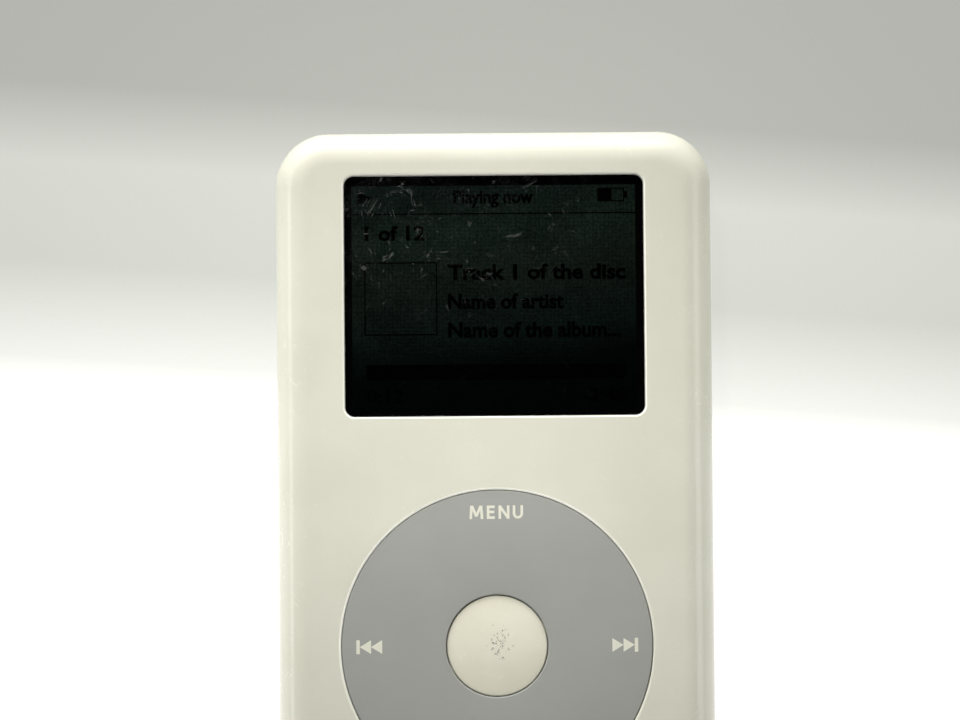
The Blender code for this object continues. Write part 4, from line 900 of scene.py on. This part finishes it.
def front_cover(finish):
    """The moulded front, open over the window and the wheel."""
    low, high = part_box("front_cover")
    top = high.z
    inside = top - COVER_WALL
    hollow = COVER_INSIDE_ROUND
    bm = bmesh.new()
    outline = rectangle(low.xy, high.xy, CORNER, 20)
    path = [
        (FRONT_ROUND + STEADY, top),
        *arc(FRONT_ROUND, top - FRONT_ROUND, FRONT_ROUND, 0, 90, 18),
        (0.0, COVER_RIM + RIM_ROUND + STEADY),
        *arc(RIM_ROUND, COVER_RIM + RIM_ROUND, RIM_ROUND, 90, 180, 3),
        *arc(COVER_WALL - RIM_ROUND, COVER_RIM + RIM_ROUND, RIM_ROUND, 180, 270, 3),
        *arc(COVER_WALL + hollow, inside - hollow, hollow, 90, 0, 6),
    ]
    window = rectangle(
        (-WINDOW_HALF_WIDTH, WINDOW_Y[0]), (WINDOW_HALF_WIDTH, WINDOW_Y[1]), WINDOW_CORNER, 10
    )
    wheel_low, wheel_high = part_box("wheel_ring")
    wheel = circle(0.0, (wheel_low.y + wheel_high.y) / 2, WHEEL_RADIUS, 160)
    holes = [
        rings(bm, window, lip_path(inside, top, WINDOW_LIP), 1),
        rings(bm, wheel, lip_path(inside, top, WHEEL_LIP), 1),
    ]
    pierced(bm, rings(bm, outline, path), holes)

    for side in (-1, 1):
        middle = side * sum(SKIRT_X) / 2
        half = (SKIRT_X[1] - SKIRT_X[0]) / 2
        prism(bm, (middle, 0.0), (half, SKIRT_HALF_LENGTH), (low.z, COVER_RIM + SKIRT_OVERLAP))
    for number in range(1, 7):
        screw_low, screw_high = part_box(f"frame_screw_{number}")
        middle = (screw_low + screw_high) / 2
        post = circle(middle.x, middle.y, POST_RADIUS, 32)
        bore = circle(middle.x, middle.y, POST_BORE, 24)
        span = [(0.0, POST_Z[1]), (0.0, POST_Z[0])]
        pierced(bm, rings(bm, post, span), [rings(bm, bore, span)])
    piece("front_shell", bm, "case", finish, ["front_cover"])


def rear_cover(finish):
    """The pressed steel back, notched at both ends."""
    low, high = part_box("rear_cover")
    bm = bmesh.new()
    outline = rectangle(low.xy, high.xy, CORNER, 20)
    rim = STEEL_RIM_ROUND
    path = [
        (BACK_ROUND + STEADY, low.z),
        *arc(BACK_ROUND, BACK_ROUND, BACK_ROUND, 180, 90, 16),
        (0.0, BACK_ROUND + STEADY),
        (0.0, high.z - rim - STEADY),
        *arc(rim, high.z - rim, rim, 90, 0, 3),
        *arc(STEEL_WALL - rim, high.z - rim, rim, 0, -90, 3),
        *arc(BACK_ROUND, BACK_ROUND, BACK_ROUND - STEEL_WALL, 90, 180, 8),
        (BACK_ROUND + STEADY, STEEL_WALL),
    ]
    pierced(bm, rings(bm, outline, path))
    for x in BACK_CUTS:
        everything = [*bm.verts, *bm.edges, *bm.faces]
        bmesh.ops.bisect_plane(bm, geom=everything, plane_co=(x, 0, 0), plane_no=(1, 0, 0))
    made = piece("rear_shell", bm, "case", finish, ["rear_cover"])
    for node, place, end in (("top_plate", TO_TOP_END, high.y), ("dock_trim", TO_DOCK_END, -low.y)):
        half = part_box(node)[1].x - PLATE_HEM + NOTCH_GAP
        cutter = bmesh.new()
        notch = rectangle((-half, NOTCH_LOW), (half, high.z + 6 * MM), NOTCH_CORNER, 8)
        pierced(cutter, rings(cutter, notch, [(0.0, end + 1 * MM), (0.0, end - NOTCH_DEPTH)]))
        bmesh.ops.transform(cutter, matrix=place, verts=cutter.verts)
        cut_away(made, cutter)
    made.data.shade_smooth()
    made.data.set_sharp_from_angle(angle=math.radians(SHARP_TURN))


def display(glass, mask, panel, marks):
    """The window, the black mask under it, the panel and what it shows."""
    low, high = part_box("display_window")
    half = WINDOW_HALF_WIDTH - LENS_SLIP
    lens = rectangle(
        (-half, WINDOW_Y[0] + LENS_SLIP), (half, WINDOW_Y[1] - LENS_SLIP), WINDOW_CORNER - LENS_SLIP, 10
    )
    flange = rectangle(low.xy, high.xy, WINDOW_CORNER, 10)
    bm = bmesh.new()
    outlines = rings(bm, lens, edge_path(LENS_FLANGE_TOP, high.z, LENS_ROUND)[:-7])
    outlines += rings(bm, lens, [(0.0, LENS_FLANGE_TOP)])
    outlines += rings(bm, flange, [(0.0, LENS_FLANGE_TOP), (0.0, low.z)])
    pierced(bm, outlines)
    piece("window_lens", bm, "case", glass, ["display_window"])

    low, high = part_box("display_gasket")
    bm = bmesh.new()
    border = rectangle(low.xy, high.xy, WINDOW_CORNER, 10)
    opening = rectangle((-VIEW_HALF_WIDTH, VIEW_Y[0]), (VIEW_HALF_WIDTH, VIEW_Y[1]), VIEW_CORNER, 4)
    span = [(0.0, high.z), (0.0, low.z)]
    pierced(bm, rings(bm, border, span), [rings(bm, opening, span)])
    piece("window_mask", bm, "case", mask, ["display_gasket"])

    low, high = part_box("display_panel")
    bm = bmesh.new()
    sheet = rectangle(low.xy, high.xy, SHEET_CORNER, 3)
    pierced(bm, rings(bm, sheet, edge_path(low.z, high.z, SHEET_ROUND, 3)))
    piece("display_cells", bm, "case", panel, ["display_panel"])

    level = (high.z + MARK_HEIGHT[0], high.z + MARK_HEIGHT[1])
    display_marks(marks, level)


def display_marks(finish, level):
    """Bars, a frame, a battery sign and plain words, measured in mm from the upper left."""
    left = -VIEW_HALF_WIDTH
    head = VIEW_Y[1]
    bm = bmesh.new()
    bars = (
        (0.0, 39.7, 3.84, 4.02),
        (1.68, 11.9, 10.68, 10.86),
        (1.68, 11.9, 20.72, 20.90),
        (1.68, 1.86, 10.68, 20.90),
        (11.74, 11.9, 10.68, 20.90),
        (1.96, 38.3, 25.0, 27.2),
        (34.4, 36.4, 0.45, 2.35),
        (34.4, 38.2, 0.45, 0.62),
        (34.4, 38.2, 2.18, 2.35),
        (38.03, 38.2, 0.45, 2.35),
        (38.2, 38.6, 0.95, 1.85),
    )
    for number, (start, end, upper, lower) in enumerate(bars):
        middle = (left + (start + end) / 2 * MM, head - (upper + lower) / 2 * MM)
        height = (level[0], level[1] + number * STAGGER)
        prism(bm, middle, ((end - start) / 2 * MM, (lower - upper) / 2 * MM), height)
    prism(bm, (left + 1.5 * MM, head - 1.7 * MM), (1.3 * MM, 1.15 * MM), level, 3)
    lines = (
        ("Playing now", 14.26, 2.44, 11.2, 1.85),
        ("1 of 12", 1.8, 7.56, 8.4, 2.0),
        ("Track 1 of the disc", 13.4, 13.1, 24.9, 2.1),
        ("Name of artist", 13.4, 17.2, 16.2, 2.1),
        ("Name of the album...", 13.4, 21.2, 24.1, 2.1),
        ("0:12", 1.96, 30.3, 5.2, 1.9),
        ("-3:48", 32.0, 30.3, 6.3, 1.9),
    )
    for text, start, base, width, tall in lines:
        corner = (left + start * MM, head - base * MM)
        words(bm, text, corner, (width * MM, tall * MM), level)
    piece("display_marks", bm, "case", finish)


def menu_sign(bm, corner, level):
    """The word on the top of the ring, in plain strokes; its numbers are mm from its corner."""
    tall = 1.86
    weight = 0.36
    half = weight / 2
    m_left, e_left, n_left, u_left = 0.0, 2.42, 4.04, 6.02
    m_right = 1.93 - half
    n_right = 1.53 - half
    u_middle = 0.715
    u_right = 1.43 - half
    arm = tall / 2 + 0.04
    letters = (
        (m_left, ((half, 0, half + 0.12, tall), (m_right - 0.12, tall, m_right, 0))),
        (m_left, ((half + 0.18, tall - 0.05, 0.96, 0.35), (0.96, 0.35, m_right - 0.18, tall - 0.05))),
        (e_left, ((half, 0, half, tall), (half, half, 1.12, half))),
        (e_left, ((half, tall - half, 1.10, tall - half), (half, arm, 1.04, arm))),
        (n_left, ((half, 0, half, tall), (n_right, 0, n_right, tall))),
        (n_left, ((half + 0.02, tall - 0.12, n_right - 0.02, 0.12),)),
        (u_left, ((half, 0.55, half, tall), (u_right, 0.55, u_right, tall))),
    )
    lines = [
        (Vector((left + x1, y1)), Vector((left + x2, y2)))
        for left, strokes in letters
        for x1, y1, x2, y2 in strokes
    ]
    bend = u_middle - half
    middle = Vector((u_left + u_middle, u_middle))
    steps = [math.pi * (1 + step / 8) for step in range(9)]
    points = [middle + Vector((math.cos(turn), math.sin(turn))) * bend for turn in steps]
    lines += [(start, end + (end - start) * 0.12) for start, end in zip(points, points[1:])]
    for number, (start, end) in enumerate(lines):
        height = (level[0], level[1] + number * STAGGER)
        stroke(bm, corner + start * MM, corner + end * MM, weight * MM, height)


def wheel(ring_finish, button_finish, legend_finish):
    """The touch ring with its printed signs, and the button in its middle."""
    low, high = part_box("wheel_ring")
    centre = ((low.x + high.x) / 2, (low.y + high.y) / 2)
    ring = WHEEL_RADIUS - WHEEL_GAP
    top = high.z
    section = [
        (WHEEL_BORE, top, 0.16 * MM),
        (ring, top, 0.22 * MM),
        (ring, WHEEL_STEP, 0.0),
        (high.x, WHEEL_STEP, 0.1 * MM),
        (high.x, low.z, 0.1 * MM),
        (HOLLOW_RADIUS, low.z, 0.1 * MM),
        (HOLLOW_RADIUS, HOLLOW_TOP, 0.0),
        (WHEEL_BORE, HOLLOW_TOP, 0.0),
    ]
    piece("touch_ring", turned(section, centre), "wheel", ring_finish, ["wheel_ring"])

    low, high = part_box("select_button")
    crown = [step * 0.6 * MM for step in range(11)]
    section = [(radius, high.z - radius * radius / (2 * BUTTON_CROWN), 0.0) for radius in crown]
    section += [
        (BUTTON_RADIUS, high.z - BUTTON_RADIUS * BUTTON_RADIUS / (2 * BUTTON_CROWN), 0.2 * MM),
        (BUTTON_RADIUS, BUTTON_STEP, 0.0),
        (high.x, BUTTON_STEP, 0.06 * MM),
        (high.x, low.z, 0.06 * MM),
        (0.0, low.z, 0.0),
    ]
    button = turned(section, centre)
    piece("select_cap", button, "centre_button", button_finish, ["select_button"])

    level = (top + SIGN_HEIGHT[0], top + SIGN_HEIGHT[1])
    x, y = centre
    bm = bmesh.new()
    menu_sign(bm, Vector((x - 3.72 * MM, y + 17.6 * MM)), level)
    for side in (-1, 1):
        outer = x + side * 19.3 * MM
        prism(bm, (outer, y), SKIP_BAR_HALF, level)
        for step in (0.0, 1.55):
            middle = x + side * (18.02 - step) * MM
            turn = 0.0 if side > 0 else math.pi
            prism(bm, (middle, y), ARROW_HALF, level, 3, turn)
    prism(bm, (x - 1.15 * MM, y - SIGN_REACH), ARROW_HALF, level, 3)
    for step in (0.65, 1.6):
        prism(bm, (x + step * MM, y - SIGN_REACH), PAUSE_BAR_HALF, level)
    piece("wheel_signs", bm, "wheel", legend_finish)


def end_slot(x, half, corner):
    """A rounded slot on the level of all the openings in the ends."""
    low = (x - half[0], HOLE_LEVEL - half[1])
    high = (x + half[0], HOLE_LEVEL + half[1])
    return rectangle(low, high, corner, 6)


def end_plates(finish, contact_finish):
    """The plastic plates in the two ends, the dock's contacts and the hold knob's ridges."""
    jack = circle(JACK_X, HOLE_LEVEL, JACK_BORE, 48)
    remote = end_slot(REMOTE_X, REMOTE_HALF, 0.5 * MM)
    hold = end_slot(HOLD_X, HOLD_HALF, 0.6 * MM)
    dock = end_slot(0.0, DOCK_HALF, 0.7 * MM)
    for node, name, place, draws in (
        ("top_plate", "headphone_plate", TO_TOP_END, (jack, remote, hold)),
        ("dock_trim", "dock_plate", TO_DOCK_END, (dock,)),
    ):
        low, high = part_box(node)
        end = max(abs(low.y), abs(high.y))
        back = min(abs(low.y), abs(high.y))
        half = high.x - PLATE_HEM
        bm = bmesh.new()
        proud = rectangle((-half, NOTCH_LOW + NOTCH_GAP), (half, high.z), NOTCH_CORNER, 8)
        flange = rectangle((-high.x, low.z), (high.x, high.z - 0.1 * MM), NOTCH_CORNER, 8)
        outlines = rings(bm, proud, lip_path(PLATE_STEP, end, 0.15 * MM, 4))
        outlines += rings(bm, flange, [(0.0, PLATE_STEP), (0.0, back)])
        holes = [rings(bm, draw, lip_path(back, end, 0.2 * MM, 4), 1) for draw in draws]
        pierced(bm, outlines, holes)
        piece(name, bm, "case", finish, [node], place)

    low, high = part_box("dock_tongue")
    height = (high.z - 0.01 * MM, high.z + 0.04 * MM)
    bm = bmesh.new()
    for number in range(CONTACTS):
        x = (number - (CONTACTS - 1) / 2) * CONTACT_STEP
        prism(bm, (x, low.y + CONTACT_INSET), CONTACT_HALF, height)
    piece("dock_contacts", bm, "case", contact_finish)

    low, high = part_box("hold_slider")
    bm = bmesh.new()
    for step in RIDGE_STEPS:
        middle = ((low.x + high.x) / 2 + step, high.y, HOLE_LEVEL)
        bmesh.ops.create_cone(
            bm,
            cap_ends=True,
            segments=12,
            radius1=RIDGE_RADIUS,
            radius2=RIDGE_RADIUS,
            depth=RIDGE_LENGTH,
            matrix=Matrix.Translation(middle) @ Matrix.Diagonal((1.0, RIDGE_FLATNESS, 1.0, 1.0)),
        )
    piece("hold_ridges", bm, "hold_knob", finish)


set_camera()
room_and_lamps()
paper_floor()

warm_white = paint(226, 224, 206)
spindle_low, spindle_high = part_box("drive_platter")
finishes = {
    "ivory_cover": ivory(),
    "white_trim": matte_plastic("white_trim", warm_white, 0.32, 0.1, 0.003, 0.02),
    "polished_steel": polished_back(),
    "sheet_steel": metal("rolled_sheet", paint(176, 177, 180), 0.32, 0.0, 0.7),
    "screw_steel": metal("screw_plating", paint(92, 92, 96), 0.38, 0.4, 0.3),
    "clear_window": window_glass(),
    "black_foam": foam("black_foam", (0.010, 0.010, 0.010, 1.0)),
    "display_glass": panel_painted_glow(),
    "light_guide": matte_plastic("light_guide", paint(232, 234, 238), 0.3, 0.25, 0.01, 0.04),
    "wheel_grey": matte_plastic("wheel_grey", paint(157, 158, 153), 0.62, 0.11, 0.004, 0.025),
    "board_green": circuit_board(),
    "chip_black": matte_plastic("chip_package", paint(30, 30, 32), 0.5, 0.08, 0.01, 0.2),
    "flex_amber": ribbon_film(),
    "bumper_blue": matte_plastic("bumper_blue", paint(52, 92, 158), 0.7, 0.3, 0.02, 0.12),
    "black_rubber": matte_plastic("black_rubber", paint(34, 34, 34), 0.75, 0.25, 0.015, 0.15),
    "cell_silver": battery_skin(),
    "cast_metal": metal("cast_metal", paint(170, 172, 174), 0.42, 0.9, 0.1, 0.02),
    "platter_mirror": platter_finish((spindle_low + spindle_high) / 2),
    "lead_red": matte_plastic("lead_red", paint(178, 24, 20), 0.4, 0.2, 0.004, 0.06),
    "lead_black": matte_plastic("lead_black", paint(28, 28, 28), 0.4, 0.2, 0.004, 0.1),
}
mask_ink = matte_plastic("mask_ink", (0.0012, 0.0012, 0.0012, 1.0), 0.5, 0.2, 0.002, 0.1)
screen_ink = matte_plastic("screen_ink", (0.0003, 0.0003, 0.0003, 1.0), 0.6, 0.2, 0.001, 0.1)
mask_ink.feed(specular_ior_level=0.0)
screen_ink.feed(specular_ior_level=0.0)
legend_ink = matte_plastic("legend_ink", paint(224, 223, 207), 0.5, 0.1, 0.002, 0.02)
gold = metal("contact_gold", paint(214, 176, 96), 0.25, 1.57, 0.5)

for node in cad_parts.values():
    for slot in node.material_slots:
        slot.material = finishes[slot.material.name.split(".")[0]].material

front_cover(finishes["ivory_cover"])
rear_cover(finishes["polished_steel"])
display(finishes["clear_window"], mask_ink, finishes["display_glass"], screen_ink)
wheel(finishes["wheel_grey"], button_gloss(), legend_ink)
end_plates(finishes["white_trim"], gold)
